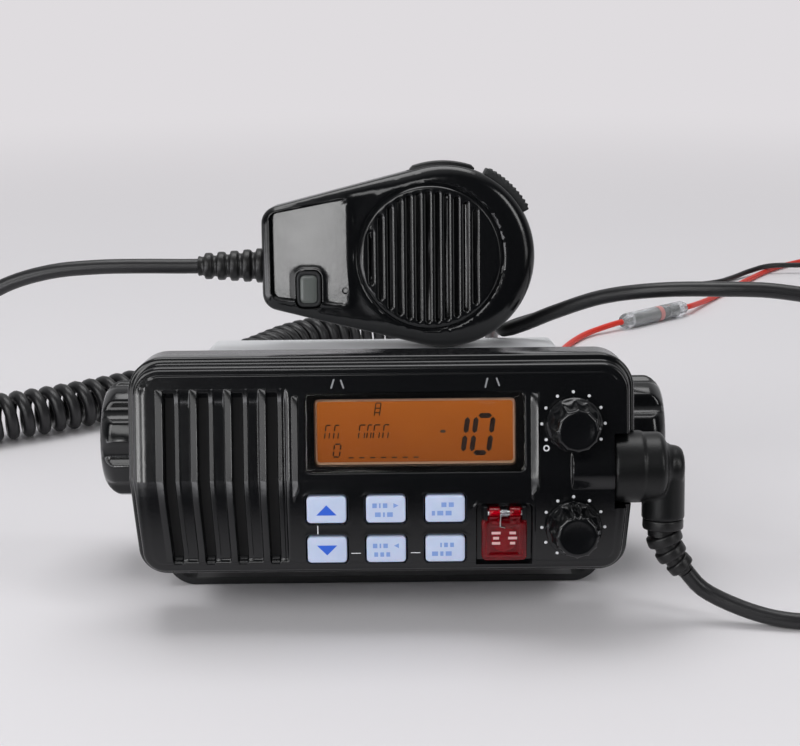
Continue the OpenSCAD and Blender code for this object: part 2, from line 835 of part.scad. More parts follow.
module speaker_cloth() {
    color("#101010") on_radio() face_plate(panel_wall, panel_wall + 0.6)
        at(-speaker_x, slot_z)
            round_rect((slots - 1) * slot_pitch + 4.6, slot_len + 2, 2);
}

// Chassis.
module chassis() {
    color(dark) on_radio() difference() {
        union() {
            for (s = [-1, 1]) {
                x0 = s > 0 ? cast_half - cast_wall : -cast_half;
                translate([x0, chassis_front, cast_low + cover_r])
                    cube([cast_wall, chassis_back - chassis_front, cast_top - cast_low - 2 * cover_r]);
                rod_x(0, 0, arm_r, s > 0 ? cast_half - 1 : -boss_face, s > 0 ? boss_face : 1 - cast_half);
                rod_x(0, 0, 7, s > 0 ? bolt_in - 2 : 1 - cast_half, s > 0 ? cast_half - 1 : 2 - bolt_in);
                for (z = post_zs)
                    rod_y(s * post_x, z, post_r, chassis_front, chassis_front + post_d);
            }
            translate([1 - cast_half, chassis_front, deck_z])
                cube([2 * cast_half - 2, chassis_back - chassis_front, deck_t]);
            translate([cover_r - cast_half - 1, chassis_back - cast_wall, cast_low])
                cube([2 * (cast_half - cover_r + 1), cast_wall, cast_top - cast_low]);
            for (i = [0:fins - 1])
                translate([fin_x + (i - (fins - 1) / 2) * fin_pitch - fin_t / 2, chassis_back - 1, -fin_h / 2])
                    cube([fin_t, fin_d + 1, fin_h]);
            for (x = [-1, 1], y = [5, board_d - 5])
                translate([x * (board_w / 2 - 5), board_y + y, deck_z])
                    cylinder(h = deck_t + stand_h, r = 3);
        }
        for (s = [-1, 1]) {
            rod_x(0, 0, bolt_r + run_gap, s > 0 ? bolt_in : -boss_face - 1, s > 0 ? boss_face + 1 : -bolt_in);
            for (z = post_zs)
                rod_y(s * post_x, z, screw_r + run_gap, chassis_front - 1, panel_back + 10 + run_gap);
            for (y = screw_ys, z = screw_zs)
                rod_x(y, z, screw_r + run_gap, s > 0 ? bolt_in : -chassis_w, s > 0 ? chassis_w : -bolt_in);
        }
        rod_y(antenna_x, antenna_z, antenna_r + 0.4, chassis_back - cast_wall - 1, chassis_back + 1);
        rod_y(grommet_x, grommet_z, grommet_r + run_gap, chassis_back - cast_wall - 1, chassis_back + 1);
    }
}

// A cover: a sheet folded down at both sides, with round edges.
module cover(leg) {
    difference() {
        translate([0, -leg])
            round_rect(chassis_w, 2 * leg, cover_r);
        translate([0, -leg])
            round_rect(chassis_w - 2 * cover_t, 2 * (leg - cover_t), cover_r - cover_t);
        translate([-chassis_w, -3 * leg])
            square([2 * chassis_w, 2 * leg]);
    }
}

module cover_holes() {
    for (s = [-1, 1], y = screw_ys, z = screw_zs)
        rod_x(y, z, screw_r + run_gap, s > 0 ? bolt_in : -chassis_w, s > 0 ? chassis_w : -bolt_in);
}

module top_cover() {
    color("#c8c9cc") on_radio() difference() {
        along_y(chassis_front, chassis_back)
            translate([0, chassis_up])
                cover(cover_leg);
        cover_holes();
    }
}

module bottom_cover() {
    color("#c8c9cc") on_radio() difference() {
        along_y(chassis_front, chassis_back)
            translate([0, -chassis_low])
                mirror([0, 1])
                    cover(low_leg);
        cover_holes();
    }
}

module cover_screws() {
    color(steel) on_radio() for (s = [-1, 1], y = screw_ys, z = screw_zs) {
        x1 = chassis_w / 2;
        rod_x(y, z, screw_r, s > 0 ? x1 - 5 : -x1, s > 0 ? x1 : 5 - x1);
        rod_x(y, z, screw_head, s > 0 ? x1 : -x1 - 1.3, s > 0 ? x1 + 1.3 : -x1);
    }
}

module main_board() {
    color(board_green) on_radio()
        translate([-board_w / 2, board_y, board_z])
            cube([board_w, board_d, board_t]);
}

module shield_can() {
    color(steel) on_radio()
        translate([32 - board_w / 2, board_y + 6, board_z + board_t])
            cube([board_w - 48, board_d - 12, 8]);
}

module antenna_socket() {
    color("#c9ccd0") on_radio() difference() {
        union() {
            rod_y(antenna_x, antenna_z, antenna_r, chassis_back - cast_wall - 4, chassis_back);
            along_y(chassis_back, chassis_back + flange_t)
                at(antenna_x, antenna_z)
                    round_rect(antenna_flange, antenna_flange, 2);
            rod_y(antenna_x, antenna_z, antenna_r, chassis_back + flange_t, chassis_back + flange_t + antenna_len);
        }
        rod_y(antenna_x, antenna_z, 2, chassis_back + 6, chassis_back + flange_t + antenna_len + 1);
    }
}

module power_grommet() {
    color(black) on_radio() {
        rod_y(grommet_x, grommet_z, grommet_r, chassis_back - cast_wall - 2, chassis_back);
        rod_y(grommet_x, grommet_z, grommet_r + 1.6, chassis_back, chassis_back + 2.5);
        rod_y(grommet_x, grommet_z, grommet_r - 0.6, chassis_back + 2.5, chassis_back + grommet_len);
    }
}

// Microphone connector.
module mic_socket() {
    color(steel) on_radio() difference() {
        rod_x(plug_y, -plug_z, socket_r, plug_x - 0.2 - socket_back, plug_x - 0.2);
        rod_x(plug_y, -plug_z, jack_r + run_gap, plug_x - 0.2 - socket_back + 2, plug_x);
    }
}

module mic_plug() {
    color(dark) on_radio() {
        rod_x(plug_y, -plug_z, jack_r, plug_x - 7, plug_x + 0.1);
        rod_x(plug_y, -plug_z, plug_r, plug_x, plug_x + 9);
        rod_x(plug_y, -plug_z, plug_r - 0.5, plug_x + 9, plug_x + 18);
        translate([plug_x + 18, plug_y, -plug_z])
            rotate([0, 90, 0])
                cylinder(h = 4.5, r1 = plug_r - 0.5, r2 = plug_r - 4);
        translate([boot_at(0)[0], plug_y, boot_top])
            cylinder(h = -boot_top - plug_z, r = leg_r);
    }
}

module plug_boot() {
    color(black) on_radio() for (k = [0:3]) {
        p = boot_at(k);
        translate([p[0], plug_y, p[1]])
            rotate([0, 90 - boot_turn[k], 0])
                boot_ring(k);
    }
}

// One ring of the bent boot, with its narrow neck towards the next ring.
module boot_ring(k) {
    r = leg_r - 0.3 - 0.75 * k;
    neck = leg_r - 2 - 0.7 * k;
    cylinder(h = 3.4, r = r);
    cylinder(h = k < 3 ? boot_seg + 0.6 : boot_seg, r = neck);
}

// Bracket, washers and clamps.
module mounting_bracket() {
    rise = pivot_z + arm_r;
    color("#202123") difference() {
        intersection() {
            along_y(-bracket_d / 2, bracket_d / 2)
                difference() {
                    translate([0, rise])
                        round_rect(2 * arm_out, 2 * rise, bend_r);
                    translate([0, rise + bracket_t])
                        round_rect(2 * arm_in, 2 * rise, bend_r - bracket_t);
                }
            along_x(-panel_w, panel_w)
                union() {
                    polygon([
                        [-bracket_d / 2, -1], [bracket_d / 2, -1], [bracket_d / 2, 14],
                        [arm_r, pivot_z], [-arm_r, pivot_z], [-bracket_d / 2, 14]
                    ]);
                    translate([0, pivot_z])
                        circle(arm_r);
                }
        }
        rod_x(0, pivot_z, bolt_r + run_gap, -panel_w, panel_w);
        for (x = [-1, 1], y = [-1, 1])
            translate([x * hole_pitch_x / 2, y * hole_pitch_y / 2, -1])
                cylinder(h = bracket_t + 2, r = hole_r);
    }
}

module pivot_washers() {
    color("#151515") on_radio() for (s = [-1, 1])
        difference() {
            rod_x(0, 0, arm_r - 1, s > 0 ? boss_face : -arm_in, s > 0 ? arm_in : -boss_face);
            rod_x(0, 0, bolt_r + 0.3, -arm_in - 1, arm_in + 1);
        }
}

module clamp_knob(s) {
    color(dark) on_radio() mirror([s < 0 ? 1 : 0, 0, 0]) difference() {
        union() {
            rod_x(0, 0, hub_r, arm_out, arm_out + hub_len);
            rod_x(0, 0, clamp_r, arm_out + hub_len - 0.5, arm_out + clamp_len - cap_len);
            translate([arm_out + clamp_len - cap_len, 0, 0])
                rotate([0, 90, 0])
                    cylinder(h = cap_len, r1 = clamp_r, r2 = clamp_r - cap_len);
        }
        for (i = [0:lobes - 1])
            rotate([360 * i / lobes, 0, 0])
                rod_x(0, clamp_r + 3.4, 5.6, arm_out + hub_len - 1, arm_out + clamp_len + 1);
        rod_x(0, 0, bolt_r + run_gap, arm_out - 1, bolt_out);
    }
}

module clamp_bolt(s) {
    color(steel) on_radio() mirror([s < 0 ? 1 : 0, 0, 0])
        rod_x(0, 0, bolt_r, bolt_in + 1, bolt_out);
}

module clamp_knob_left() clamp_knob(-1);
module clamp_knob_right() clamp_knob(1);
module clamp_bolt_left() clamp_bolt(-1);
module clamp_bolt_right() clamp_bolt(1);

// Microphone.
function sector(r0, r1, a0, a1) = concat(
    [for (k = [0:10]) let (a = a0 + (a1 - a0) * k / 10) [r1 * cos(a), r1 * sin(a)]],
    [for (k = [0:10]) let (a = a1 + (a0 - a1) * k / 10) [r0 * cos(a), r0 * sin(a)]]
);

module side_slots() {
    along_y(talk_y[0] - slide_gap, talk_y[1] + slide_gap) {
        polygon(sector(talk_in - talk_travel - slide_gap, mic_r + 5, talk_a[0] - 1.7, talk_a[1] + 1.7));
        polygon(sector(rocker_in - 1.3, mic_r + 5, rocker_a[0] - 1.2, rocker_a[1] + 1.2));
    }
}

module mic_front_shell() {
    color(black) on_mic() difference() {
        union() {
            difference() {
                for (e = mic_edges)
                    along_y(e[1], mic_split)
                        polygon(mic_outline(e[0]));
                along_y(mic_wall, mic_split + 1)
                    polygon(mic_outline(mic_wall));
            }
            for (p = mic_posts)
                rod_y(p[0], p[1], mic_post_r, mic_wall - 0.5, mic_split);
        }
        for (i = [0:grille_slots - 1]) {
            x = (i - (grille_slots - 1) / 2) * grille_pitch + grille_shift;
            along_y(-1, mic_wall + 0.5)
                at(grille_x + x, 0)
                    round_rect(grille_slot, 2 * sqrt(pow(grille_r - 2, 2) - x * x), grille_slot / 2 - 0.05);
        }
        along_y(-1, mic_wall + 0.5)
            at(key_at[0], key_at[1])
                round_rect(small_w + 2 * slide_gap, small_h + 2 * slide_gap, 1.8);
        for (p = mic_posts)
            rod_y(p[0], p[1], 1.2 + run_gap, mic_split - 9, mic_split + 1);
        side_slots();
    }
}

module mic_rear_shell() {
    color(black) on_mic() difference() {
        union() {
            difference() {
                for (e = mic_edges)
                    along_y(mic_split, mic_d - 1.5 * e[1])
                        polygon(mic_outline(1.5 * e[0]));
                along_y(mic_split - 1, mic_d - mic_wall)
                    polygon(mic_outline(2.7 + mic_wall));
                along_y(mic_split - 1, mic_d - 3 - mic_wall)
                    polygon(mic_outline(mic_wall));
            }
            for (p = mic_posts)
                rod_y(p[0], p[1], mic_post_r, mic_split, mic_d - 1);
        }
        for (p = mic_posts) {
            rod_y(p[0], p[1], 1.2 + run_gap, mic_split - 1, mic_d);
            rod_y(p[0], p[1], 2.4 + run_gap, mic_d - 2, mic_d + 1);
        }
        side_slots();
    }
}

module mic_screws() {
    color(steel) on_mic() for (p = mic_posts) {
        rod_y(p[0], p[1], 1.2, mic_split - 8, mic_d - 2);
        rod_y(p[0], p[1], 2.4, mic_d - 2, mic_d - 0.4);
    }
}

module mic_board() {
    color(board_green) on_mic() along_y(mic_board_back - board_t, mic_board_back)
        at(mic_board_at[0], mic_board_at[1])
            round_rect(mic_board_size[0], mic_board_size[1], 2);
}

module mic_capsule() {
    color(steel) on_mic()
        rod_y(grille_x, 0, 5, mic_wall + 2, mic_board_back - board_t);
}

module talk_bar() {
    color(dark) on_mic() along_y(talk_y[0], talk_y[1])
        polygon(sector(talk_in, talk_out, talk_a[0], talk_a[1]));
}

module channel_rocker() {
    color(dark) on_mic() along_y(talk_y[0] + 0.4, talk_y[1] - 0.4)
        polygon(sector(rocker_in, rocker_out, rocker_a[0], rocker_a[1]));
}

module mic_key() {
    color(dark) on_mic() {
        along_y(-0.8, mic_board_back - board_t - small_travel - slide_gap)
            at(key_at[0], key_at[1])
                round_rect(small_w, small_h, 1.5);
        along_y(mic_wall + slide_gap, mic_wall + slide_gap + 1.4)
            at(key_at[0], key_at[1])
                square([small_w + 1.6, small_h - 1], center = true);
    }
}

module mic_boot() {
    color(black) on_mic() translate([-tail_x, mic_boot_y, mic_boot_z]) rotate([0, -90, 0])
        rotate_extrude()
            polygon(concat(
                [[0, 0], [mic_boot_r, 0]],
                [for (k = [0:4], e = [[0, 2.6], [1.4, 2.8], [1.4, 4.3], [0, 4.5]])
                    [mic_boot_r - 0.35 * k - e[0], 4.5 * k + e[1]]],
                [[cord_d / 2 + 0.8, mic_boot_len], [0, mic_boot_len]]
            ));
}

module mic_hanger() {
    color(steel) on_mic() {
        rod_y(0, 0, 3.5, mic_d, mic_d + hanger_len - 2);
        rod_y(0, 0, 6.5, mic_d + hanger_len - 2, mic_d + hanger_len);
    }
}

// Cords: a ring of points square to the route at every route point.
function unit(v) = v / norm(v);
function way(path, i) = unit(path[min(len(path) - 1, i + 1)] - path[max(0, i - 1)]);
function side_of(d) = unit(cross(d, abs(d[2]) > 0.9 ? [1, 0, 0] : [0, 0, 1]));
function rings(path, r, n) = [for (i = [0:len(path) - 1])
    let (d = way(path, i), u = side_of(d), v = cross(u, d))
    for (k = [0:n - 1]) path[i] + r * (cos(360 * k / n) * u + sin(360 * k / n) * v)];
function walls(m, n) = [for (i = [0:m - 2], k = [0:n - 1]) each [
    [i * n + k, i * n + (k + 1) % n, (i + 1) * n + (k + 1) % n],
    [i * n + k, (i + 1) * n + (k + 1) % n, (i + 1) * n + k]
]];

module tube(path, d, n) {
    m = len(path);
    polyhedron(
        points = rings(path, d / 2, n),
        faces = concat(walls(m, n), [[for (k = [n - 1:-1:0]) k]], [[for (k = [0:n - 1]) (m - 1) * n + k]])
    );
}

module mic_cord_lead() {
    color(black)
        tube(lead_route, cord_d, 8);
}

module mic_cord_curl() {
    color(black)
        tube(curl_path, cord_d, 6);
}

module mic_cord_tail() {
    color(black)
        tube(tail_route, cord_d, 8);
}

module power_lead_red() {
    color("#d8281c") {
        tube(red_near, lead_d, 8);
        tube(red_far, lead_d, 8);
    }
}

module power_lead_black() {
    color(black)
        tube(black_route, lead_d, 8);
}

// Places a child that runs along +Z on the fuse's line.
module on_fuse_line(s) {
    translate(fuse_from + s * fuse_way)
        rotate([0, 90, atan2(fuse_way[1], fuse_way[0])])
            children();
}

module fuse_holder() {
    color([0.85, 0.88, 0.9, 0.5]) on_fuse_line(0) difference() {
        cylinder(h = fuse_len, r = fuse_r);
        translate([0, 0, holder_end])
            cylinder(h = fuse_len - 2 * holder_end, r = fuse_r - holder_wall);
    }
}

module fuse() {
    color("#e0e4e8") on_fuse_line(holder_end)
        cylinder(h = fuse_len - 2 * holder_end, r = fuse_r - holder_wall - run_gap);
}

mounting_bracket();
pivot_washers();
clamp_knob_left();
clamp_knob_right();
clamp_bolt_left();
clamp_bolt_right();
chassis();
top_cover();
bottom_cover();
cover_screws();
front_gasket();
panel_screws();
front_panel();
display_lens();
lcd_cell();
backlight();
front_board();
keypad_mat();
up_key();
right_key();
channel_key();
down_key();
left_key();
watch_key();
volume_pot();
volume_shaft();
volume_knob();
squelch_pot();
squelch_shaft();
squelch_knob();
distress_cover();
distress_pin();
distress_button();
speaker_frame();
speaker_cone();
speaker_cloth();
main_board();
shield_can();
antenna_socket();
power_grommet();
mic_socket();
mic_plug();
plug_boot();
mic_front_shell();
mic_rear_shell();
mic_screws();
mic_board();
mic_capsule();
talk_bar();
channel_rocker();
mic_key();
mic_boot();
mic_hanger();
mic_cord_lead();
mic_cord_curl();
mic_cord_tail();
power_lead_red();
power_lead_black();
fuse_holder();
fuse();
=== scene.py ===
import math
import bmesh
import bpy
from mathutils import Matrix, Vector


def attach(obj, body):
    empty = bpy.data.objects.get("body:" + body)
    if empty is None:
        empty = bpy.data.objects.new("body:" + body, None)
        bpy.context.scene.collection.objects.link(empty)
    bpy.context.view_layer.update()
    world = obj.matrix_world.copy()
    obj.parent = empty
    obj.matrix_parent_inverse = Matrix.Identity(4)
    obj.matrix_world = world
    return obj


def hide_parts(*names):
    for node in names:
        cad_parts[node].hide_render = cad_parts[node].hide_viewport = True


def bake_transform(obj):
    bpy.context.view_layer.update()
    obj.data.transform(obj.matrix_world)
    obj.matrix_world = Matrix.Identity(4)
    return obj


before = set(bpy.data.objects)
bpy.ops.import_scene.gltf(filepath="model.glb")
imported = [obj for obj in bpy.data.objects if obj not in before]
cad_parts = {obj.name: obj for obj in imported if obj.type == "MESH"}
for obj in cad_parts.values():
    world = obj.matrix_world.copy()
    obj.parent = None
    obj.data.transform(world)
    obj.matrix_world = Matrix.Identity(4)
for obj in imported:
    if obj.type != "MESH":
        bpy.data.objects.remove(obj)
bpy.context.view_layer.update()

scene = bpy.context.scene
scene.view_settings.view_transform = "Standard"


# --- Camera -------------------------------------------------------------------
# A long lens half a metre in front of the radio, looking down at it by 16
# degrees and turned a little, as the photograph was taken.

MM = 0.001


def mm(*values):
    """A vector given in millimetres."""
    return Vector(values) * MM


camera_data = bpy.data.cameras.new("camera")
camera_data.sensor_width = 36
camera_data.lens = 74.25
camera_data.clip_start = 0.05
camera_data.clip_end = 40
camera = bpy.data.objects.new("camera", camera_data)
look_down = math.radians(16)
roll = math.radians(-0.6)
camera.matrix_world = (
    Matrix.Translation(mm(6.1, -550.2, 224.2))
    @ Matrix.Rotation(math.pi / 2 - look_down, 4, "X")
    @ Matrix.Rotation(roll, 4, "Z")
)
scene.collection.objects.link(camera)
scene.camera = camera


# --- Floor and studio light ---------------------------------------------------
# A seamless pale paper sweep under and behind the radio. It is matt and a
# little mottled, and it takes the soft shadow under the case.

def linear(hex_colour):
    """sRGB hex to linear RGBA."""
    parts = [int(hex_colour[i:i + 2], 16) / 255 for i in (1, 3, 5)]
    return [p / 12.92 if p <= 0.04045 else ((p + 0.055) / 1.055) ** 2.4 for p in parts] + [1]


def add_node(tree, kind, settings=None, **inputs):
    """Adds a node. An input is a value, or another node's output to link."""
    made = tree.nodes.new(kind)
    for name, value in (settings or {}).items():
        setattr(made, name, value)
    for name, value in inputs.items():
        socket = made.inputs[int(name[1:])] if name[0] == "_" else made.inputs[name.replace("_", " ")]
        if isinstance(value, bpy.types.NodeSocket):
            tree.links.new(value, socket)
        else:
            socket.default_value = value
    return made


def maths(tree, operation, *values):
    """The output of a math node on numbers or other nodes' outputs."""
    inputs = {f"_{i}": value for i, value in enumerate(values)}
    return add_node(tree, "ShaderNodeMath", {"operation": operation}, **inputs).outputs[0]


def two_tone(tree, share, first, second):
    """The output of a mix of two colours."""
    return add_node(tree, "ShaderNodeMix", {"data_type": "RGBA"}, _0=share, _6=first, _7=second).outputs[2]


def sees_wall(tree, y):
    """1 for camera rays, and for rays through clear parts where y is well behind the radio."""
    ray = add_node(tree, "ShaderNodeLightPath")
    farther = add_node(tree, "ShaderNodeMapRange", Value=y, From_Min=0.1, From_Max=0.3)
    through = maths(tree, "MULTIPLY", farther.outputs[0], ray.outputs["Is Transmission Ray"])
    return maths(tree, "MAXIMUM", ray.outputs["Is Camera Ray"], through)


def empty_material(name):
    """A new material without nodes, and its tree."""
    material = bpy.data.materials.new(name)
    material.use_nodes = True
    material.node_tree.nodes.clear()
    return material, material.node_tree


paper, tree = empty_material("paper_sweep")
place = add_node(tree, "ShaderNodeNewGeometry").outputs["Position"]
mottle = add_node(tree, "ShaderNodeTexNoise", Vector=place, Scale=2.0, Detail=2.0)
tone = two_tone(tree, mottle.outputs["Fac"], linear("#e0dee1"), linear("#e7e5e8"))
surface = add_node(tree, "ShaderNodeBsdfPrincipled", Base_Color=tone, Roughness=0.75, Specular_IOR_Level=0.2)
# Far off, the paper curves up out of the light: the camera sees the plain wall
# there, also through clear parts.
WALL_COLOUR = linear("#dfdcdf")
spot = add_node(tree, "ShaderNodeSeparateXYZ", Vector=place)
away = add_node(tree, "ShaderNodeVectorMath", {"operation": "LENGTH"}, _0=place)
fade = add_node(
    tree, "ShaderNodeMapRange", {"interpolation_type": "SMOOTHSTEP"}, Value=away.outputs["Value"],
    From_Min=0.35, From_Max=1.3,
)
far_seen = maths(tree, "MULTIPLY", fade.outputs[0], sees_wall(tree, spot.outputs["Y"]))
wall = add_node(tree, "ShaderNodeEmission", Color=WALL_COLOUR, Strength=1.0)
sweep = add_node(tree, "ShaderNodeMixShader", _0=far_seen, _1=surface.outputs[0], _2=wall.outputs[0])
# In front of the radio, gloss parts see a painted dark reflection there instead of
# the paper, and on the left a painted bright glow that they mirror like a lamp.
ahead = add_node(tree, "ShaderNodeMapRange", Value=spot.outputs["Y"], From_Min=-0.09, From_Max=-0.28)
glossy_ray = add_node(tree, "ShaderNodeLightPath").outputs["Is Glossy Ray"]
painted_reflection_share = maths(tree, "MULTIPLY", ahead.outputs[0], glossy_ray)
beside = add_node(
    tree, "ShaderNodeMapRange", Value=spot.outputs["X"], From_Min=-0.2, From_Max=-0.36, To_Min=0.007, To_Max=5.0
)
# Painted reflection: nearly black, brightening to a strong glow on the left, for gloss rays only.
painted_reflection = add_node(tree, "ShaderNodeEmission", Color=linear("#f2f2f6"), Strength=beside.outputs[0])
sweep = add_node(tree, "ShaderNodeMixShader", _0=painted_reflection_share, _1=sweep.outputs[0], _2=painted_reflection.outputs[0])
add_node(tree, "ShaderNodeOutputMaterial", Surface=sweep.outputs[0])

floor_mesh = bpy.data.meshes.new("floor")
HALF_FLOOR = 9.0
floor_corners = [(x * HALF_FLOOR, y * HALF_FLOOR, 0) for x, y in ((-1, -1), (1, -1), (1, 1), (-1, 1))]
floor_mesh.from_pydata(floor_corners, [], [(0, 1, 2, 3)])
floor_mesh.materials.append(paper)
floor = bpy.data.objects.new("floor", floor_mesh)
scene.collection.objects.link(floor)

# The world is a pale room that darkens towards the front, so that black gloss
# parts keep their depth. The camera and clear parts see the plain wall instead.
world = bpy.data.worlds.new("studio")
scene.world = world
world.use_nodes = True
tree = world.node_tree
tree.nodes.clear()
way = add_node(tree, "ShaderNodeTexCoord").outputs["Generated"]
split = add_node(tree, "ShaderNodeSeparateXYZ", Vector=way)
height = add_node(
    tree, "ShaderNodeMapRange", Value=split.outputs["Z"], From_Min=0.78, From_Max=0.98, To_Min=0.0, To_Max=0.5
)
behind = add_node(
    tree, "ShaderNodeMapRange", Value=split.outputs["Y"], From_Min=-0.15, From_Max=0.6, To_Min=0.0, To_Max=0.6
)
level = maths(tree, "ADD", maths(tree, "ADD", height.outputs[0], behind.outputs[0]), 0.03)
room = add_node(tree, "ShaderNodeBackground", Color=linear("#f4f4f6"), Strength=level)
sight = add_node(tree, "ShaderNodeBackground", Color=WALL_COLOUR, Strength=1.0)
straight = sees_wall(tree, split.outputs["Y"])
pick = add_node(tree, "ShaderNodeMixShader", _0=straight, _1=room.outputs[0], _2=sight.outputs[0])
add_node(tree, "ShaderNodeOutputWorld", Surface=pick.outputs[0])


def soft_box(name, at, towards, size, watts):
    """A rectangular soft lamp that faces a point."""
    data = bpy.data.lights.new(name, "AREA")
    data.shape = "RECTANGLE"
    data.size, data.size_y = size
    data.energy = watts
    lamp = bpy.data.objects.new(name, data)
    lamp.location = at
    lamp.rotation_euler = (Vector(towards) - Vector(at)).to_track_quat("-Z", "Y").to_euler()
    scene.collection.objects.link(lamp)


# One box overhead lights the paper. Five stand round the front for the bands of
# light in the gloss, and a small one shines on the microphone's plate.
soft_box("top_box", (0, 0.35, 1.5), (0, 0, 0.04), (1.2, 0.8), 10)
soft_box("front_high_box", (-0.5, -1.15, 0.84), (0, 0, 0.06), (1.0, 0.42), 5)
soft_box("left_low_box", (-1.03, -1.03, 0.24), (0, 0, 0.06), (0.9, 0.28), 1.7)
soft_box("left_high_box", (-1.15, -0.85, 0.86), (0, 0, 0.06), (0.45, 0.8), 5)
soft_box("right_low_box", (1.1, -0.9, 0.25), (0, 0, 0.06), (0.4, 0.28), 0.6)
soft_box("right_high_box", (1.1, -0.9, 0.82), (0, 0, 0.06), (0.35, 0.75), 4)
soft_box("plate_box", (-0.455, -1.215, 0.222), (-0.02, 0, 0.115), (0.15, 0.2), 1.1)


# --- Microphone cord ----------------------------------------------------------
# One length of black PVC cable: straight out of the microphone's boot, a curly
# stretch behind the radio, and a straight stretch round to the plug.
# The jacket is extruded, so it is smooth with a soft sheen and faint waviness.

TILT = math.radians(8)
PIVOT = mm(0, 0, 44)
LEAN = Matrix.Translation(PIVOT) @ Matrix.Rotation(-TILT, 4, "X")


def placed(x, y, z):
    """A point in millimetres on the level radio, moved to the tilted one."""
    return LEAN @ mm(x, y, z)


def turned(x, y, z):
    """A direction on the level radio, turned with the tilted one."""
    return LEAN.to_3x3() @ Vector((x, y, z))


def fine(size_mm):
    """A texture's scale for a pattern of this real size."""
    return 1 / (size_mm * MM)


def noise(tree, size_mm, detail=2.0):
    """The output of a noise of this real size that is fixed to the piece."""
    where = add_node(tree, "ShaderNodeTexCoord").outputs["Object"]
    return add_node(tree, "ShaderNodeTexNoise", Vector=where, Scale=fine(size_mm), Detail=detail).outputs["Fac"]


def spread(tree, value, low, high):
    """The output of a node that spreads 0 to 1 over low to high."""
    return add_node(tree, "ShaderNodeMapRange", Value=value, To_Min=low, To_Max=high).outputs[0]


def bumps(tree, height, strength, distance):
    """The output of a bump node, for a surface's Normal."""
    return add_node(tree, "ShaderNodeBump", Height=height, Strength=strength, Distance=distance).outputs[0]


def principled(tree, **inputs):
    """Ends a material's tree with one principled surface."""
    surface = add_node(tree, "ShaderNodeBsdfPrincipled", **inputs)
    add_node(tree, "ShaderNodeOutputMaterial", Surface=surface.outputs[0])


def plastic(name, colour, roughness, grain_mm, grain_depth=0.2, **more):
    """Moulded or extruded plastic: one even colour, with grain from its mould."""
    material, tree = empty_material(name)
    dull = spread(tree, noise(tree, 9, 3.0), roughness * 0.85, roughness * 1.15)
    grain = bumps(tree, noise(tree, grain_mm), grain_depth, grain_mm * MM * 0.3)
    principled(tree, Base_Color=linear(colour), Roughness=dull, IOR=1.5, Normal=grain, **more)
    return material


def make_piece(name, points, faces, material, body, smooth=40):
    """A piece of one material that moves with a body. Edges over smooth degrees stay sharp."""
    mesh = bpy.data.meshes.new(name)
    mesh.from_pydata([tuple(p) for p in points], [], faces)
    mesh.materials.append(material)
    mesh.validate()
    sides = bmesh.new()
    sides.from_mesh(mesh)
    bmesh.ops.recalc_face_normals(sides, faces=sides.faces)
    sides.to_mesh(mesh)
    sides.free()
    mesh.shade_smooth()
    mesh.set_sharp_from_angle(angle=math.radians(smooth))
    piece = bpy.data.objects.new(name, mesh)
    scene.collection.objects.link(piece)
    if body:
        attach(piece, body)
    return piece


def smooth_route(points, step):
    """Points about one step apart on a smooth curve through the given ones."""
    route = []
    ends = [points[0] * 2 - points[1]] + list(points) + [points[-1] * 2 - points[-2]]
    for p0, p1, p2, p3 in zip(ends, ends[1:], ends[2:], ends[3:]):
        d0, d1, d2 = (max((b - a).length ** 0.5, 1e-6) for a, b in ((p0, p1), (p1, p2), (p2, p3)))
        m1 = (p1 - p0) / d0 - (p2 - p0) / (d0 + d1) + (p2 - p1) / d1
        m2 = (p2 - p1) / d1 - (p3 - p1) / (d1 + d2) + (p3 - p2) / d2
        count = max(1, round((p2 - p1).length / step))
        for i in range(count):
            t = i / count
            route.append(
                p1 * (2 * t**3 - 3 * t**2 + 1) + m1 * d1 * (t**3 - 2 * t**2 + t)
                + p2 * (3 * t**2 - 2 * t**3) + m2 * d1 * (t**3 - t**2)
            )
    return route + [points[-1]]


def laid_route(points, diameter):
    """A smooth route with no part of the cord under the floor."""
    return [Vector((p.x, p.y, max(p.z, diameter / 2 * MM))) for p in smooth_route(points, 3 * MM)]


def loft(loops):
    """Points and faces of a closed skin over loops with the same number of points."""
    count = len(loops[0])
    points = [p for loop in loops for p in loop]
    faces = [tuple(range(count - 1, -1, -1))]
    for i in range(len(loops) - 1):
        for k in range(count):
            a, b = i * count + k, i * count + (k + 1) % count
            faces.append((a, b, b + count, a + count))
    faces.append(tuple(range(len(points) - count, len(points))))
    return points, faces


def tube(route, radius, sides):
    """Points and faces of a closed round tube along a route."""
    loops = []
    side = None
    turns = [2 * math.pi * k / sides for k in range(sides)]
    for i, p in enumerate(route):
        ahead = (route[min(i + 1, len(route) - 1)] - route[max(i - 1, 0)]).normalized()
        if side is None:
            side = ahead.cross(Vector((0, 0, 1)) if abs(ahead.z) < 0.9 else Vector((1, 0, 0)))
        side = (side - ahead * side.dot(ahead)).normalized()
        up = side.cross(ahead)
        loops.append([p + (side * math.cos(a) + up * math.sin(a)) * radius for a in turns])
    return loft(loops)


cord_jacket = plastic("extruded_pvc_black", "#19191b", 0.36, grain_mm=2.4, grain_depth=0.12)
CORD_D = 5.2
CORD_SIDES = 20

mic_exit = placed(-64, 7, 59.3)
plug_turn = math.radians(-48)
plug_way = turned(math.cos(plug_turn), 0, math.sin(plug_turn))
BOOT_TURNS = [-90, -70, -58, -48]
BOOT_SEGMENT = 5
PLUG_Y = -55
boot_points = [(89.5, -18)]
for turn in BOOT_TURNS:
    x, z = boot_points[-1]
    boot_points.append((
        x + BOOT_SEGMENT * math.cos(math.radians(turn)), z + BOOT_SEGMENT * math.sin(math.radians(turn)),
    ))
plug_exit = placed(boot_points[-1][0], PLUG_Y, boot_points[-1][1])

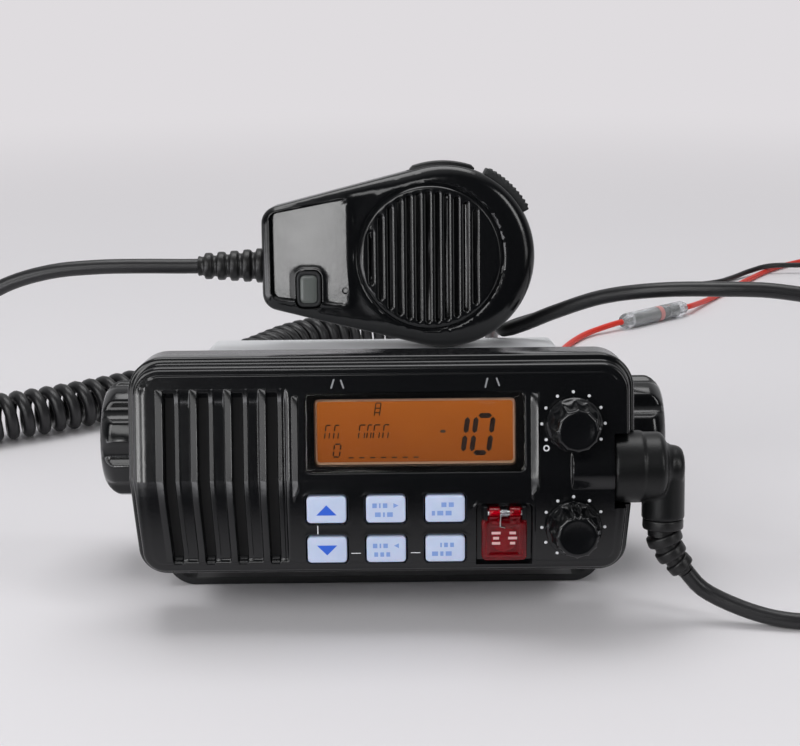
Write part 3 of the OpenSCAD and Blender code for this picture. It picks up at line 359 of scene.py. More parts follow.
# The curls: the axis follows two arcs on the floor and the cord winds round it.
CURL_D, CURL_PITCH = 21, 6.8
CURL_MEAN = (CURL_D - CORD_D) / 2
curl_start = mm(-192, 120, 11)
CURL_HEAD = math.radians(20)
BOW_R, BOW_TURN = 252, math.radians(42)
HOOK_R, HOOK_TURN = 70, math.radians(82)
bow_length = BOW_R * BOW_TURN
curl_length = bow_length + HOOK_R * HOOK_TURN


def curl_heading(s):
    """The way of the curls' axis, in radians, at s millimetres along it."""
    if s < bow_length:
        return CURL_HEAD + BOW_TURN * s / bow_length
    return CURL_HEAD + BOW_TURN - (s - bow_length) / HOOK_R


bow_middle = curl_start + mm(-BOW_R * math.sin(CURL_HEAD), BOW_R * math.cos(CURL_HEAD), 0)
bow_end_head = CURL_HEAD + BOW_TURN
hook_middle = bow_middle + mm((BOW_R + HOOK_R) * math.sin(bow_end_head), -(BOW_R + HOOK_R) * math.cos(bow_end_head), 0)


def curl_axis(s):
    """The point of the axis at s millimetres along it."""
    h = curl_heading(s)
    if s < bow_length:
        return bow_middle + mm(BOW_R * math.sin(h), -BOW_R * math.cos(h), 0)
    return hook_middle + mm(-HOOK_R * math.sin(h), HOOK_R * math.cos(h), 0)


def curl_point(s):
    """The cord's own point there. The winding opens from the axis over the first pitch."""
    h = curl_heading(s)
    a = 2 * math.pi * s / CURL_PITCH
    grow = min(1, max(0, s - CORD_D) / CURL_PITCH, max(0, curl_length - CORD_D - s) / CURL_PITCH)
    r = CURL_MEAN * grow * grow * (3 - 2 * grow)
    return curl_axis(s) + mm(-math.sin(h) * math.cos(a) * r, math.cos(h) * math.cos(a) * r, math.sin(a) * r)


STEPS_A_CURL = 20
curl_steps = int(curl_length / CURL_PITCH * STEPS_A_CURL)
curl_route = [curl_point(curl_length * i / curl_steps) for i in range(curl_steps + 1)]
curl_end = curl_axis(curl_length)
start_way = Vector((math.cos(CURL_HEAD), math.sin(CURL_HEAD), 0))
end_way = Vector((math.cos(curl_heading(curl_length)), math.sin(curl_heading(curl_length)), 0))

lead_points = [mic_exit, mic_exit - mm(CORD_D, 0, 0)] + [mm(*p) for p in (
    (-84, 15, 102), (-100, 15, 101.8), (-116, 15, 100.3), (-132, 15.5, 95.6), (-146, 17, 87),
    (-159, 20, 76), (-172, 26, 62), (-185, 34, 47), (-197, 44, 32), (-208, 56, 19),
    (-217, 71, 11), (-222, 86, 9), (-219, 101, 9.7), (-209, 112, 10.7),
)] + [curl_start - start_way * CORD_D * MM, curl_start]
tail_points = [curl_end, curl_end + end_way * CORD_D * MM] + [mm(*p) for p in (
    (44, 265, 8.4), (55, 252, 4), (58, 234, 2.7), (57, 200, 2.7), (54, 168, 2.9),
    (51, 145, 8.5), (47, 122, 24), (44, 99, 45), (42, 76, 63), (42, 56, 73), (42.5, 42, 74.6),
    (44, 30, 73.8), (50, 27, 76.2), (61, 20, 82.6), (77, 10.5, 90.3), (95, 0, 95),
    (114, -6, 96.5), (134, -9, 96.2), (153, -12, 92.5), (169, -16, 83), (181, -22, 67),
    (189, -33, 47), (189, -44, 28), (181, -56, 13), (168, -65, 4.5), (150, -69, 2.8),
    (130, -68, 2.7), (117, -65, 4.8),
)] + [plug_exit + plug_way * 1.5 * CORD_D * MM, plug_exit]


def cord_piece(name, route, diameter, material, node, sides=CORD_SIDES, body="radio"):
    """A round cord along a route, in place of a cord of the solid model."""
    points, faces = tube(route, diameter * MM / 2, sides)
    piece = make_piece(name, points, faces, material, body, smooth=60)
    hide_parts(*node)
    return piece


lead_route = smooth_route(lead_points, 3 * MM)
mic_lead = cord_piece("mic_cord_straight", lead_route, CORD_D, cord_jacket, ["mic_cord_lead"], body=None)
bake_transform(mic_lead)
mic_curls = cord_piece("mic_cord_curls", curl_route, CORD_D, cord_jacket, ["mic_cord_curl"], sides=14)
tail_route = laid_route(tail_points, CORD_D)
mic_tail = cord_piece("mic_cord_to_plug", tail_route, CORD_D, cord_jacket, ["mic_cord_tail"])


# --- Power leads --------------------------------------------------------------
# Two stranded copper wires in thin PVC, red with a clear fuse holder in it and
# black, laid over the floor. Both are cut square just outside the view.

red_jacket = plastic("extruded_pvc_red", "#d8301f", 0.4, grain_mm=2.0, grain_depth=0.1)
LEAD_D = 3.1
lead_way = turned(0, 1, 0)
red_exit = placed(46, 36, -8)
black_exit = placed(42, 36, -8)
fuse_from, fuse_to = mm(126, 312, 4.3), mm(165, 343, 4.3)
fuse_way = (fuse_to - fuse_from).normalized()
red_near_points = [red_exit, red_exit + lead_way * LEAD_D * MM] + [mm(*p) for p in (
    (47, 52, 23), (50, 76, 12.5), (54, 102, 4), (60, 132, 1.7), (72, 198, 1.7), (86, 255, 1.7),
    (98, 285, 1.7), (108, 299, 2.4),
)] + [fuse_from - fuse_way * LEAD_D * MM, fuse_from]
red_far_points = [fuse_to, fuse_to + fuse_way * LEAD_D * MM] + [mm(*p) for p in (
    (178, 362, 2.6), (190, 381, 1.7), (216, 421, 1.7), (240, 454, 1.7), (262, 474, 1.7),
)]
black_points = [black_exit, black_exit + lead_way * LEAD_D * MM] + [mm(*p) for p in (
    (42, 50, 24), (43, 76, 11), (44, 104, 3), (46, 200, 1.7), (52, 286, 1.7), (65, 320, 1.7),
    (86, 345, 1.7), (110, 372, 1.7), (139, 394, 1.7), (170, 407, 1.7), (196, 416, 1.7),
    (208, 427, 1.9), (221, 439, 3.2), (234, 445, 5), (262, 446, 5),
)]
red_near_route = laid_route(red_near_points, LEAD_D)
red_far_route = laid_route(red_far_points, LEAD_D)
black_route = laid_route(black_points, LEAD_D)
red_near = cord_piece("power_wire_red_near", red_near_route, LEAD_D, red_jacket, ["power_lead_red"], sides=14)
red_far = cord_piece("power_wire_red_far", red_far_route, LEAD_D, red_jacket, ["power_lead_red"], sides=14)
black_lead = cord_piece("power_wire_black", black_route, LEAD_D, cord_jacket, ["power_lead_black"], sides=14)


# --- Front panel --------------------------------------------------------------
# One glossy black ABS moulding: a raised face with a crease across it, a rounded
# shoulder and a flange behind. Louvres, ribs and pockets are moulded in, and fine
# raised lines stand on it. Four screws from behind hold it to the casting.

import numpy as np

PANEL_W, PANEL_H = 160, 70
PANEL_BACK = -36
REACH, CREASE_OUT, CREASE_Z = 60, 3.5, -3
CREASE_Y = -REACH - CREASE_OUT
UP_SLOPE = CREASE_OUT / (PANEL_H / 2 - CREASE_Z)
LOW_R = ((PANEL_H / 2 + CREASE_Z) ** 2 + CREASE_OUT ** 2) / (2 * CREASE_OUT)
CORNER_TOP, CORNER_LOW, SIDE_TAPER = 11, 9, 2
CORNER_X, TOP_MID, LOW_MID = 69, 24, -26
FIELD_INSET = 4.2
FIELD_RAISE = 0.25


def face_y(z):
    """Y of the face's main surface at a height above the tilt axis."""
    drop = np.clip(CREASE_Z - z, 0, 60)
    return np.where(
        z > CREASE_Z, CREASE_Y + (z - CREASE_Z) * UP_SLOPE, CREASE_Y + LOW_R - np.sqrt(LOW_R**2 - drop**2)
    )


def rise(distance, half_width):
    """0 to 1 across an edge, with both corners eased."""
    t = np.clip((distance / half_width + 1) / 2, 0, 1)
    return t * t * (3 - 2 * t)


def box_gap(x, z, middle_x, middle_z, width, height, corner):
    """Distance outside a rounded rectangle, negative inside it."""
    dx = abs(x - middle_x) - width / 2 + corner
    dz = abs(z - middle_z) - height / 2 + corner
    return np.hypot(np.maximum(dx, 0), np.maximum(dz, 0)) + np.minimum(np.maximum(dx, dz), 0) - corner


def line_gap(x, z, points):
    """Distance to a line through points."""
    least = np.full(np.broadcast(x, z).shape, 1e3)
    for (ax, az), (bx, bz) in zip(points, points[1:]):
        t = np.clip(((x - ax) * (bx - ax) + (z - az) * (bz - az)) / ((bx - ax) ** 2 + (bz - az) ** 2), 0, 1)
        least = np.minimum(least, np.hypot(x - ax - t * (bx - ax), z - az - t * (bz - az)))
    return least


LOUVRE_X, LOUVRE_PITCH, LOUVRES = -70.4, 10.75, 4
LOUVRE_TOP, LOUVRE_LOW = 25.8, -29.2
BLADE_W, HOLLOW_SINK = 2.3, 0.95
SLAT_AT, SLAT_W, SLAT_SHARE = 5.7, 1.5, 0.4
GAP_AT, GAP_HALF, GAP_SINK = 4.0, 1.55, 2.6
LCD_W, LCD_H, LCD_X, LCD_Z = 62, 20.3, 10.6, 11.7
WINDOW_W, WINDOW_H = 68.8, 25.1
WINDOW_SINK, CELL_SINK = 0.65, 4.45
# Each rib: its middle, its width, its low end and its top.
RIB_OUT = 0.85
RIBS = [(-27.0, 1.9, -9.1, 23.4), (48.0, 2.4, -9.0, 23.8)]
KEY_W, KEY_H, KEY_R = 12.4, 8.6, 1.3
KEY_GAP, KEY_SINK = 0.9, 4.1
KEY_X, KEY_Z = [-17.4, 1.2, 19.8], [-12.3, -25.5]
COVER_X, HINGE_Z, LUG_X, BUTTON_Z = 38.4, -13.6, 6.05, -23
RECESS_W, RECESS_H, RECESS_TOP, RECESS_SINK = 17.4, 21.6, -11.2, 1.6
PLUG_Z, PLUG_X = -1.2, 73.4
BOSS_R, BOSS_X, POCKET_R = 10, 59.6, 11.8


def blade(p, width):
    """Section of a louvre blade: it climbs to the right and drops off there, 0 to 1."""
    t = np.clip(p / width, 0, 1)
    return (1 - (1 - t) ** 1.12) * rise(width + 0.1 - p, 0.22)


def along_blade(z, top, low):
    """Height along a blade: eased at both ends and a little lower at the crease."""
    crown = 0.85 - 0.12 * np.exp(-abs(z - CREASE_Z) / 3)
    t = np.clip((z - top + 5.5) / 5.5, 0, 1)
    u = np.clip((low + 3.5 - z) / 3.5, 0, 1)
    return crown * np.sqrt(1 - t * t) * np.sqrt(1 - u * u)


def louvres(x, z):
    """How far the louvred stretch lies behind the face, or in front of it."""
    sink = np.zeros(np.broadcast(x, z).shape)
    height = along_blade(z, LOUVRE_TOP, LOUVRE_LOW)
    ease = np.clip((LOUVRE_TOP - z) / 6, 0, 1)
    ends = ease * (2 - ease) * rise(z - LOUVRE_LOW, 0.9)
    bevel = np.clip((z + 30.3) / 3.4, 0, 1)
    for k in range(LOUVRES):
        # A blade, a hollow to its right with a low slat in it, and a deep slot between them.
        p = x - LOUVRE_X - k * LOUVRE_PITCH
        slot = rise(GAP_HALF - abs(p - GAP_AT), 0.22)
        hollow_end = LOUVRE_PITCH - 0.1 if k < LOUVRES - 1 else 8.2
        hollow = rise(p - 2.4, 0.3) * rise(hollow_end - p, 0.3)
        sink += -height * blade(p, BLADE_W)
        sink += ends * hollow * HOLLOW_SINK
        sink -= SLAT_SHARE * height * blade(p - SLAT_AT, SLAT_W)
        sink += np.clip((LOUVRE_TOP - 1 - z) / 2.5, 0, 1) * slot * GAP_SINK * bevel
    return sink


def face_sink(x, z, inset):
    """How far all that is moulded into the face lies behind its main surface."""
    sink = -FIELD_RAISE * rise(inset - 5.0, 0.3) + louvres(x, z)
    # The display's window and cell, and a rib on each side of them.
    sink += WINDOW_SINK * rise(-box_gap(x, z, LCD_X, LCD_Z, WINDOW_W, WINDOW_H, 2), 0.15)
    sink += CELL_SINK * rise(-box_gap(x, z, LCD_X, LCD_Z, LCD_W + 0.6, LCD_H + 0.3, 1.3), 0.2)
    for middle, width, low, top in RIBS:
        narrow = np.clip((z - low + 0.2) / 3.2, 0.25, 1)
        sink -= RIB_OUT * along_blade(z, top, low) * blade(x - middle + width / 2, width * narrow)
    # A hole for each key, with a faint raised edge.
    for key_x in KEY_X:
        for key_z in KEY_Z:
            hole = box_gap(x, z, key_x, key_z, KEY_W + KEY_GAP, KEY_H + KEY_GAP, KEY_R + 0.4)
            edge = box_gap(x, z, key_x, key_z, KEY_W + 1.7, KEY_H + 1.7, KEY_R + 0.9)
            sink += KEY_SINK * rise(-hole, 0.14)
            sink -= 0.05 * rise(0.55 - abs(edge), 0.4)
    # The distress cover's recess, its hinge lugs and the well of the button.
    recess = box_gap(x, z, COVER_X, RECESS_TOP - RECESS_H / 2, RECESS_W, RECESS_H, 1.5)
    sink += RECESS_SINK * rise(-recess, 0.25) - 0.18 * rise(0.5 - abs(recess - 0.5), 0.3)
    for side in (-1, 1):
        lug = box_gap(x, z, COVER_X + side * LUG_X, HINGE_Z, 1.7, 4.6, 0.4)
        sink -= 4.6 * rise(-lug, 0.16)
    sink += 3.0 * rise(4.4 - np.hypot(x - COVER_X, z - BUTTON_Z), 0.2)
    return sink


def grid_lines(low, high, step, edges, near=(0.1, 0.22, 0.38, 0.6)):
    """Grid lines a step apart, and closer beside each edge."""
    lines = set(np.arange(low, high, step)) | {high}
    for edge in edges:
        lines |= {edge} | {edge + side * d for d in near for side in (-1, 1)}
    kept = [low]
    for value in sorted(lines):
        if value - kept[-1] > 0.075 and value < high - 0.075:
            kept.append(value)
    return np.array(kept + [high])


def panel_taper(z):
    """How far the sides lean in at a height."""
    return SIDE_TAPER * np.clip((CREASE_Z - z) / 23, 0, 1)


def around(middle, size):
    """The two edges of a form."""
    return [middle - size / 2, middle + size / 2]


half_w, half_h = PANEL_W / 2, PANEL_H / 2
x_edges = [LOUVRE_X + k * LOUVRE_PITCH + p for k in range(LOUVRES) for p in (0, 1.2, 2.4, 5.5, 6.5, 7.4)]
x_edges += around(LCD_X, WINDOW_W) + around(LCD_X, LCD_W + 0.6) + around(COVER_X, RECESS_W) + [BOSS_X, 73.2]
x_edges += [edge for key_x in KEY_X for edge in around(key_x, KEY_W + KEY_GAP)]
x_edges += [m + s * w / 2 for m, w, low, top in RIBS for s in (-1, 0, 1)]
x_edges += [COVER_X + s * (LUG_X + d) for s in (-1, 1) for d in (-0.85, 0.85)]
z_edges = [LOUVRE_TOP, LOUVRE_LOW, CREASE_Z, RECESS_TOP, RECESS_TOP - RECESS_H, HINGE_Z + 2.3, HINGE_Z - 2.3]
z_edges += around(LCD_Z, WINDOW_H) + around(LCD_Z, LCD_H + 0.3) + [23.6, 24.2]
z_edges += [edge for key_z in KEY_Z for edge in around(key_z, KEY_H + KEY_GAP)]
z_edges += [PLUG_Z + s * POCKET_R for s in (-1, 1)] + [s * (half_h - 5) for s in (-1, 1)]
corner_turns = np.radians(np.arange(0, 91, 7.5))
z_edges_plain = [TOP_MID + (CORNER_TOP - FIELD_INSET) * math.sin(a) for a in corner_turns]
z_edges_plain += [LOW_MID - (CORNER_LOW - FIELD_INSET) * math.sin(a) for a in corner_turns]
columns = grid_lines(-half_w + FIELD_INSET, half_w - FIELD_INSET, 0.85, x_edges)
rows = grid_lines(-half_h + FIELD_INSET, half_h - FIELD_INSET, 0.9, z_edges)
rows = np.unique(np.concatenate([rows, z_edges_plain]).round(3))
rows = rows[np.concatenate([[True], np.diff(rows) > 0.02])]


def side_at(z, inset):
    """Half the width of the panel's outline, drawn in by inset, and the way outwards there."""
    if z > TOP_MID:
        r = CORNER_TOP - FIELD_INSET
        a = math.asin(min(1, (z - TOP_MID) / r))
        return CORNER_X + (CORNER_TOP - inset) * math.cos(a), TOP_MID + (CORNER_TOP - inset) * math.sin(a)
    if z < LOW_MID:
        r = CORNER_LOW - FIELD_INSET
        a = math.asin(min(1, (LOW_MID - z) / r))
        return CORNER_X + (CORNER_LOW - inset) * math.cos(a), LOW_MID - (CORNER_LOW - inset) * math.sin(a)
    return half_w - inset - float(panel_taper(z)), z


def lean(u, z):
    """The louvres and the right edge lean in with the panel's sides."""
    share = np.where(u < 0, np.clip((-u - 25) / 45, 0, 1), np.clip((u - 71) / 4.5, 0, 1))
    return u - np.sign(u) * panel_taper(z) * share


def panel_mesh():
    """The face as a relief on a grid, then rings round the shoulder and flange to the back."""
    limits = [side_at(float(z), FIELD_INSET)[0] for z in rows]
    index, points, faces = {}, [], []
    u_all, z_all = np.meshgrid(columns, rows)
    x_all = lean(u_all, z_all)
    limit_all = np.array(limits)[:, None] * np.ones_like(x_all)
    x_all = np.clip(x_all, -limit_all, limit_all)
    side_gap = limit_all - abs(x_all)
    inset = FIELD_INSET + np.minimum(side_gap, half_h - FIELD_INSET - abs(z_all))
    past = abs(x_all) - CORNER_X
    for radius, beyond in ((CORNER_TOP, z_all - TOP_MID), (CORNER_LOW, LOW_MID - z_all)):
        inset = np.where((past > 0) & (beyond > 0), radius - np.hypot(past, beyond), inset)
    y_all = face_y(z_all) + face_sink(u_all, z_all, inset)
    # The half-round boss of the plug's socket, and its pocket.
    half_chord = np.sqrt(np.clip(BOSS_R**2 - (z_all - PLUG_Z) ** 2, 0, None))
    on_boss = rise(x_all - BOSS_X, 0.35) * (half_chord > 0)
    y_all = y_all + np.minimum(0, PLUG_Y - half_chord - y_all) * on_boss
    y_all = pocket(x_all, y_all, z_all)
    # Points that the outline pushes together become one.
    for j in range(len(rows)):
        for i in range(len(columns)):
            key = (round(float(x_all[j, i]), 4), j)
            if key not in index:
                index[key] = len(points)
                points.append((float(x_all[j, i]), float(y_all[j, i]), float(rows[j])))
    at = [[index[(round(float(x_all[j, i]), 4), j)] for i in range(len(columns))] for j in range(len(rows))]
    for j in range(len(rows) - 1):
        for i in range(len(columns) - 1):
            ring = []
            for v in (at[j][i], at[j][i + 1], at[j + 1][i + 1], at[j + 1][i]):
                if v not in ring:
                    ring.append(v)
            if len(ring) > 2:
                faces.append(ring)
    # The face's edge as one loop. Each point has 1 or -1 on the sides, 0 at top and bottom.
    top, low = len(rows) - 1, 0
    loop = [(at[j][-1], 1) for j in range(len(rows))]
    loop += [(v, 0) for v in dict.fromkeys(reversed(at[top])) if v not in (at[top][0], at[top][-1])]
    loop += [(at[j][0], -1) for j in range(top, -1, -1)]
    loop += [(v, 0) for v in dict.fromkeys(at[low]) if v not in (at[low][0], at[low][-1])]
    # The shoulder, the flange and the side: (inset, depth behind the face, or y if negative).
    steps = [(3.85, 0.0), (3.55, 0.03)]
    steps += [(3.55 - 1.35 * math.sin(a), 1.35 - 1.35 * math.cos(a)) for a in np.radians([18, 36, 54, 72, 90])]
    steps += [(2.2, 5.1), (2.1, 5.65), (1.75, 5.95), (1.1, 6.0), (0.62, 6.12), (0.25, 6.4), (0.05, 6.8), (0, 7.3)]
    steps += [(0, -50.0), (0, PANEL_BACK - 0.6), (0.15, PANEL_BACK - 0.15), (0.6, PANEL_BACK)]
    before = [v for v, side in loop]
    for inset_now, depth in steps:
        ring = []
        for v, side in loop:
            x, y, z = points[v]
            if side:
                px, pz = side_at(z, inset_now)
                px *= side
            else:
                px, pz = x, math.copysign(half_h - inset_now, z)
            py = depth if depth < 0 else float(face_y(np.array(pz))) + depth
            ring.append(len(points))
            points.append((px, float(pocket(np.array(px), np.array(py), np.array(pz))), pz))
        count = len(loop)
        faces += [(before[k], before[(k + 1) % count], ring[(k + 1) % count], ring[k]) for k in range(count)]
        before = ring
    faces.append(tuple(before[::-1]))
    return [placed(*p) for p in points], [tuple(f)[::-1] for f in faces]


def pocket(x, y, z):
    """The half-round hollow in the right side for the microphone's plug."""
    cut = PLUG_Y + np.sqrt(np.clip(POCKET_R**2 - (z - PLUG_Z) ** 2, 0, None))
    inside = (abs(z - PLUG_Z) < POCKET_R) * rise(x - 73.15, 0.12)
    return y + np.maximum(0, cut - y) * inside


# Gloss black ABS: deep black with sharp reflections, slightly hazed by handling.
gloss_abs = plastic("gloss_moulded_abs_black", "#0d0e10", 0.16, grain_mm=1.6, grain_depth=0.03)
panel_points, panel_faces = panel_mesh()
panel = make_piece("panel_moulding", panel_points, panel_faces, gloss_abs, "radio", smooth=50)
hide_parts("front_panel")


# --- Display ------------------------------------------------------------------
# A reflective liquid crystal cell lit amber from behind, in a pale frame, under a
# flat acrylic window that lies a little below the face. The dark segments are
# lifted off the cell as thin plates.

def face_point(x, z, out):
    """A point that stands out of the face by this much, in millimetres."""
    return placed(x, float(face_y(np.array(z))) - out, z)


def round_loop(width, height, corner, inset=0.0, turns=6):
    """A rounded rectangle's outline about the origin, anticlockwise."""
    r = max(corner - inset, 0.15)
    w, h = width / 2 - inset - r, height / 2 - inset - r
    loop = []
    for cx, cz, start in ((w, h, 0), (-w, h, 90), (-w, -h, 180), (w, -h, 270)):
        for k in range(turns + 1):
            a = math.radians(start + 90 * k / turns)
            loop.append((cx + r * math.cos(a), cz + r * math.sin(a)))
    return loop


def loft_round(loops):
    """The same with the last loop joined to the first, for a piece with a hole through it."""
    count = len(loops[0])
    points = [p for loop in loops for p in loop]
    faces = []
    for i in range(len(loops)):
        j = (i + 1) % len(loops)
        for k in range(count):
            m = (k + 1) % count
            faces.append((i * count + k, i * count + m, j * count + m, j * count + k))
    return points, faces


def joined(parts):
    """The points and faces of several parts as one."""
    points, faces = [], []
    for part_points, part_faces in parts:
        faces += [tuple(v + len(points) for v in face) for face in part_faces]
        points += part_points
    return points, faces


def face_prism(outline, steps, middle=(0, 0)):
    """A closed piece on the face. outline(inset) gives its loop, steps are (inset, out)."""
    return loft([
        [face_point(middle[0] + x, middle[1] + z, out) for x, z in outline(inset)] for inset, out in steps
    ])


def rectangle(width, height, corner):
    """A rounded rectangle as the outline of a prism."""
    return lambda inset: round_loop(width, height, corner, inset)


def bar_loop(x0, z0, x1, z1, width):
    """A straight bar between two points, with pointed ends."""
    way = Vector((x1 - x0, z1 - z0)).normalized()
    side = Vector((-way.y, way.x)) * width / 2
    a, b = Vector((x0, z0)), Vector((x1, z1))
    from_a, from_b = a + way * width / 2, b - way * width / 2
    return [tuple(p) for p in (a, from_a - side, from_b - side, b, from_b + side, from_a + side)]


# Backlit cell: an even amber, brighter at the top, with the lamp's faint mottling.
amber, tree = empty_material("backlit_cell_amber")
where = add_node(tree, "ShaderNodeNewGeometry").outputs["Position"]
parts = add_node(tree, "ShaderNodeSeparateXYZ", Vector=where)
LCD_LOW, LCD_TOP = placed(LCD_X, -60, LCD_Z - LCD_H / 2).z, placed(LCD_X, -60, LCD_Z + LCD_H / 2).z
up = add_node(
    tree, "ShaderNodeMapRange", Value=parts.outputs["Z"], From_Min=LCD_LOW, From_Max=LCD_TOP, To_Min=0.0, To_Max=0.75
)
mottle = add_node(tree, "ShaderNodeTexNoise", Vector=where, Scale=fine(14), Detail=1.5)
shade = maths(tree, "MULTIPLY_ADD", mottle.outputs["Fac"], 0.4, up.outputs[0])
glow = two_tone(tree, shade, linear("#8f4a17"), linear("#c06a22"))
principled(
    tree, Base_Color=linear("#4a2410"), Roughness=0.6, Specular_IOR_Level=0.2,
    Emission_Color=glow, Emission_Strength=0.6,
)

# Cast acrylic: clear, with a sharp surface that mirrors the lamps a little.
acrylic, tree = empty_material("cast_acrylic_clear")
dull = spread(tree, noise(tree, 6), 0.015, 0.04)
principled(
    tree, Base_Color=linear("#fbf8f4"), Roughness=dull, IOR=1.3, Transmission_Weight=1.0, Specular_IOR_Level=0.3
)

window = make_piece("display_window", *face_prism(
    rectangle(WINDOW_W - 0.4, WINDOW_H - 0.4, 1.9),
    [(0.1, -0.38), (0, -0.36), (0, -0.12), (0.1, 0.0), (0.4, 0.05), (3, 0.06)], (LCD_X, LCD_Z)
), acrylic, "radio")
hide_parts("display_lens")

cell = make_piece("display_cell", *face_prism(
    rectangle(LCD_W + 0.3, LCD_H, 1.1), [(0, -4.6), (0, -2.5), (0.2, -2.42), (0.5, -2.4), (2, -2.4)], (LCD_X, LCD_Z)
), amber, "radio")
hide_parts("lcd_cell")

# Moulded frame round the cell: pale, so that its edge reads as a thin light line.
pale_frame = plastic("moulded_polycarbonate_pale", "#c9a58c", 0.45, grain_mm=1.2, grain_depth=0.05)
frame_edges = (round_loop(LCD_W + 0.4, LCD_H + 0.1, 1.2), round_loop(LCD_W - 0.6, LCD_H - 1.3, 0.9))
# Round the frame's section: (outer or inner edge, how far out).
FRAME_DEPTHS = ((0, -2.9), (0, -2.1), (1, -2.1), (1, -2.9))
make_piece("display_frame", *loft_round([
    [face_point(LCD_X + x, LCD_Z + z, out) for x, z in frame_edges[edge]] for edge, out in FRAME_DEPTHS
]), pale_frame, "radio")

SEGMENT_LEAN = 0.15
dark_segment = plastic("liquid_crystal_dark", "#241006", 0.6, grain_mm=1.5, grain_depth=0.02)


def lcd_bar(x0, z0, x1, z1, width, z_ref=0.0):
    """A segment whose points lean to the right with their height above z_ref."""
    ends = [(x + (z - z_ref) * SEGMENT_LEAN, z) for x, z in ((x0, z0), (x1, z1))]
    loop = bar_loop(*ends[0], *ends[1], width)
    return loft([[face_point(x, z, out) for x, z in loop] for out in (-2.43, -2.34)])


# The two digits of the channel number first, then a dash and small signs made of
# plain strokes.
segments = []
for x0, digit in ((21.1, "bc"), (29.1, "abcdef")):
    w, low, mid, top = 5.3, 4.8, 10.6, 16.4
    spots = {
        "a": (x0 + 0.5, top, x0 + w - 0.5, top), "b": (x0 + w, mid + 0.3, x0 + w, top - 0.4),
        "c": (x0 + w, low + 0.4, x0 + w, mid - 0.3), "d": (x0 + 0.5, low, x0 + w - 0.5, low),
        "e": (x0, low + 0.4, x0, mid - 0.3), "f": (x0, mid + 0.3, x0, top - 0.4),
    }
    segments += [lcd_bar(*spots[name], 1.6, z_ref=10.6) for name in digit]
segments.append(lcd_bar(16.6, 11.6, 18.6, 11.6, 0.9))
for x in (-1.9, -0.3):
    segments.append(lcd_bar(x, 16.6, x, 20.6, 0.35, z_ref=18))
for z in (17.6, 19.0, 20.6):
    segments.append(lcd_bar(-1.9, z, -0.3, z, 0.35, z_ref=18))
for x, wide in ((-17.6, 1.4), (-14.8, 1.4), (-7.0, 1.8), (-4.4, 1.2), (-2.4, 1.8), (0.6, 1.6)):
    segments.append(lcd_bar(x, 9.6, x, 11.5, 0.4, z_ref=11))
    segments.append(lcd_bar(x, 11.9, x, 13.8, 0.4, z_ref=11))
    segments.append(lcd_bar(x, 13.8, x + wide, 13.8, 0.4, z_ref=11))
    segments.append(lcd_bar(x + wide, 9.6, x + wide, 11.5, 0.35, z_ref=11))
for x in (-14.9, -12.9):
    segments.append(lcd_bar(x, 4.1, x, 5.7, 0.45, z_ref=6))
    segments.append(lcd_bar(x, 6.1, x, 7.7, 0.45, z_ref=6))
for z in (3.9, 7.9):
    segments.append(lcd_bar(-14.8, z, -13.0, z, 0.45, z_ref=6))
for k in range(7):
    segments.append(lcd_bar(-11.0 + 3.4 * k, 3.6, -9.2 + 3.4 * k, 3.6, 0.4))
make_piece("display_segments", *joined(segments), dark_segment, "radio")


# --- Keys ---------------------------------------------------------------------
# Six translucent white silicone-backed caps on a rubber mat, each with a blue
# printed mark. Every cap moves straight in by a millimetre.

# Moulded silicone: milky, softly glossy, slightly bluish where light passes through,
# with a faint painted glow in its own pale blue.
key_white, tree = empty_material("moulded_silicone_white")
tint = two_tone(tree, noise(tree, 5), linear("#b9c7e4"), linear("#cfd9ef"))
principled(
    tree, Base_Color=tint, Roughness=0.38, IOR=1.41, Normal=bumps(tree, noise(tree, 0.5), 0.1, 0.00005),
    Subsurface_Weight=0.25, Subsurface_Scale=0.0015, Emission_Color=linear("#c4d2f0"), Emission_Strength=0.06,
)

# Pad-printed ink: flat blue with a slight edge.
blue_ink = plastic("pad_printed_ink_blue", "#2a63dd", 0.45, grain_mm=0.6, grain_depth=0.05)
light_ink = plastic("pad_printed_ink_light_blue", "#84a3e0", 0.45, grain_mm=0.6, grain_depth=0.05)

CAP_STEPS = [(0.1, -2.6), (0, -2.5), (0, 0.72), (0.08, 0.98), (0.28, 1.17), (0.6, 1.27), (1.3, 1.33), (2.6, 1.36)]


def dashes(x, z, widths, height=1.5):
    """A row of plain printed blocks."""
    row = []
    low, top = z - height / 2, z + height / 2
    for width in widths:
        row.append([(x, low), (x + width, low), (x + width, top), (x, top)])
        x += width + 0.7
    return row


MARKS = {
    "up_key": [[(-3.2, -1.7), (3.2, -1.7), (0, 1.6)]],
    "down_key": [[(3.2, 1.6), (-3.2, 1.6), (0, -1.7)]],
    "right_key": (
        [[(2.4, 0.5), (4.0, 1.3), (2.4, 2.1)]]
        + dashes(-4.2, 1.3, (1.4, 0.5, 1.4)) + dashes(-3.4, -1.6, (1.8, 0.6, 1.8))
    ),
    "left_key": (
        [[(4.0, 0.5), (4.0, 2.1), (2.4, 1.3)]]
        + dashes(-4.2, 1.3, (1.4, 0.5, 1.4)) + dashes(-3.8, -1.6, (1.2, 1.2, 1.2))
    ),
    "channel_key": dashes(-1.2, 1.4, (1.6, 1.6)) + dashes(-4.2, -1.3, (1.0, 1.9, 1.9)),
    "watch_key": dashes(-1.6, 1.4, (0.5, 1.2, 1.2)) + dashes(-4.2, -1.5, (1.9, 1.0, 1.9)),
}
key_shape = rectangle(KEY_W, KEY_H, KEY_R)
key_names = [["up_key", "right_key", "channel_key"], ["down_key", "left_key", "watch_key"]]
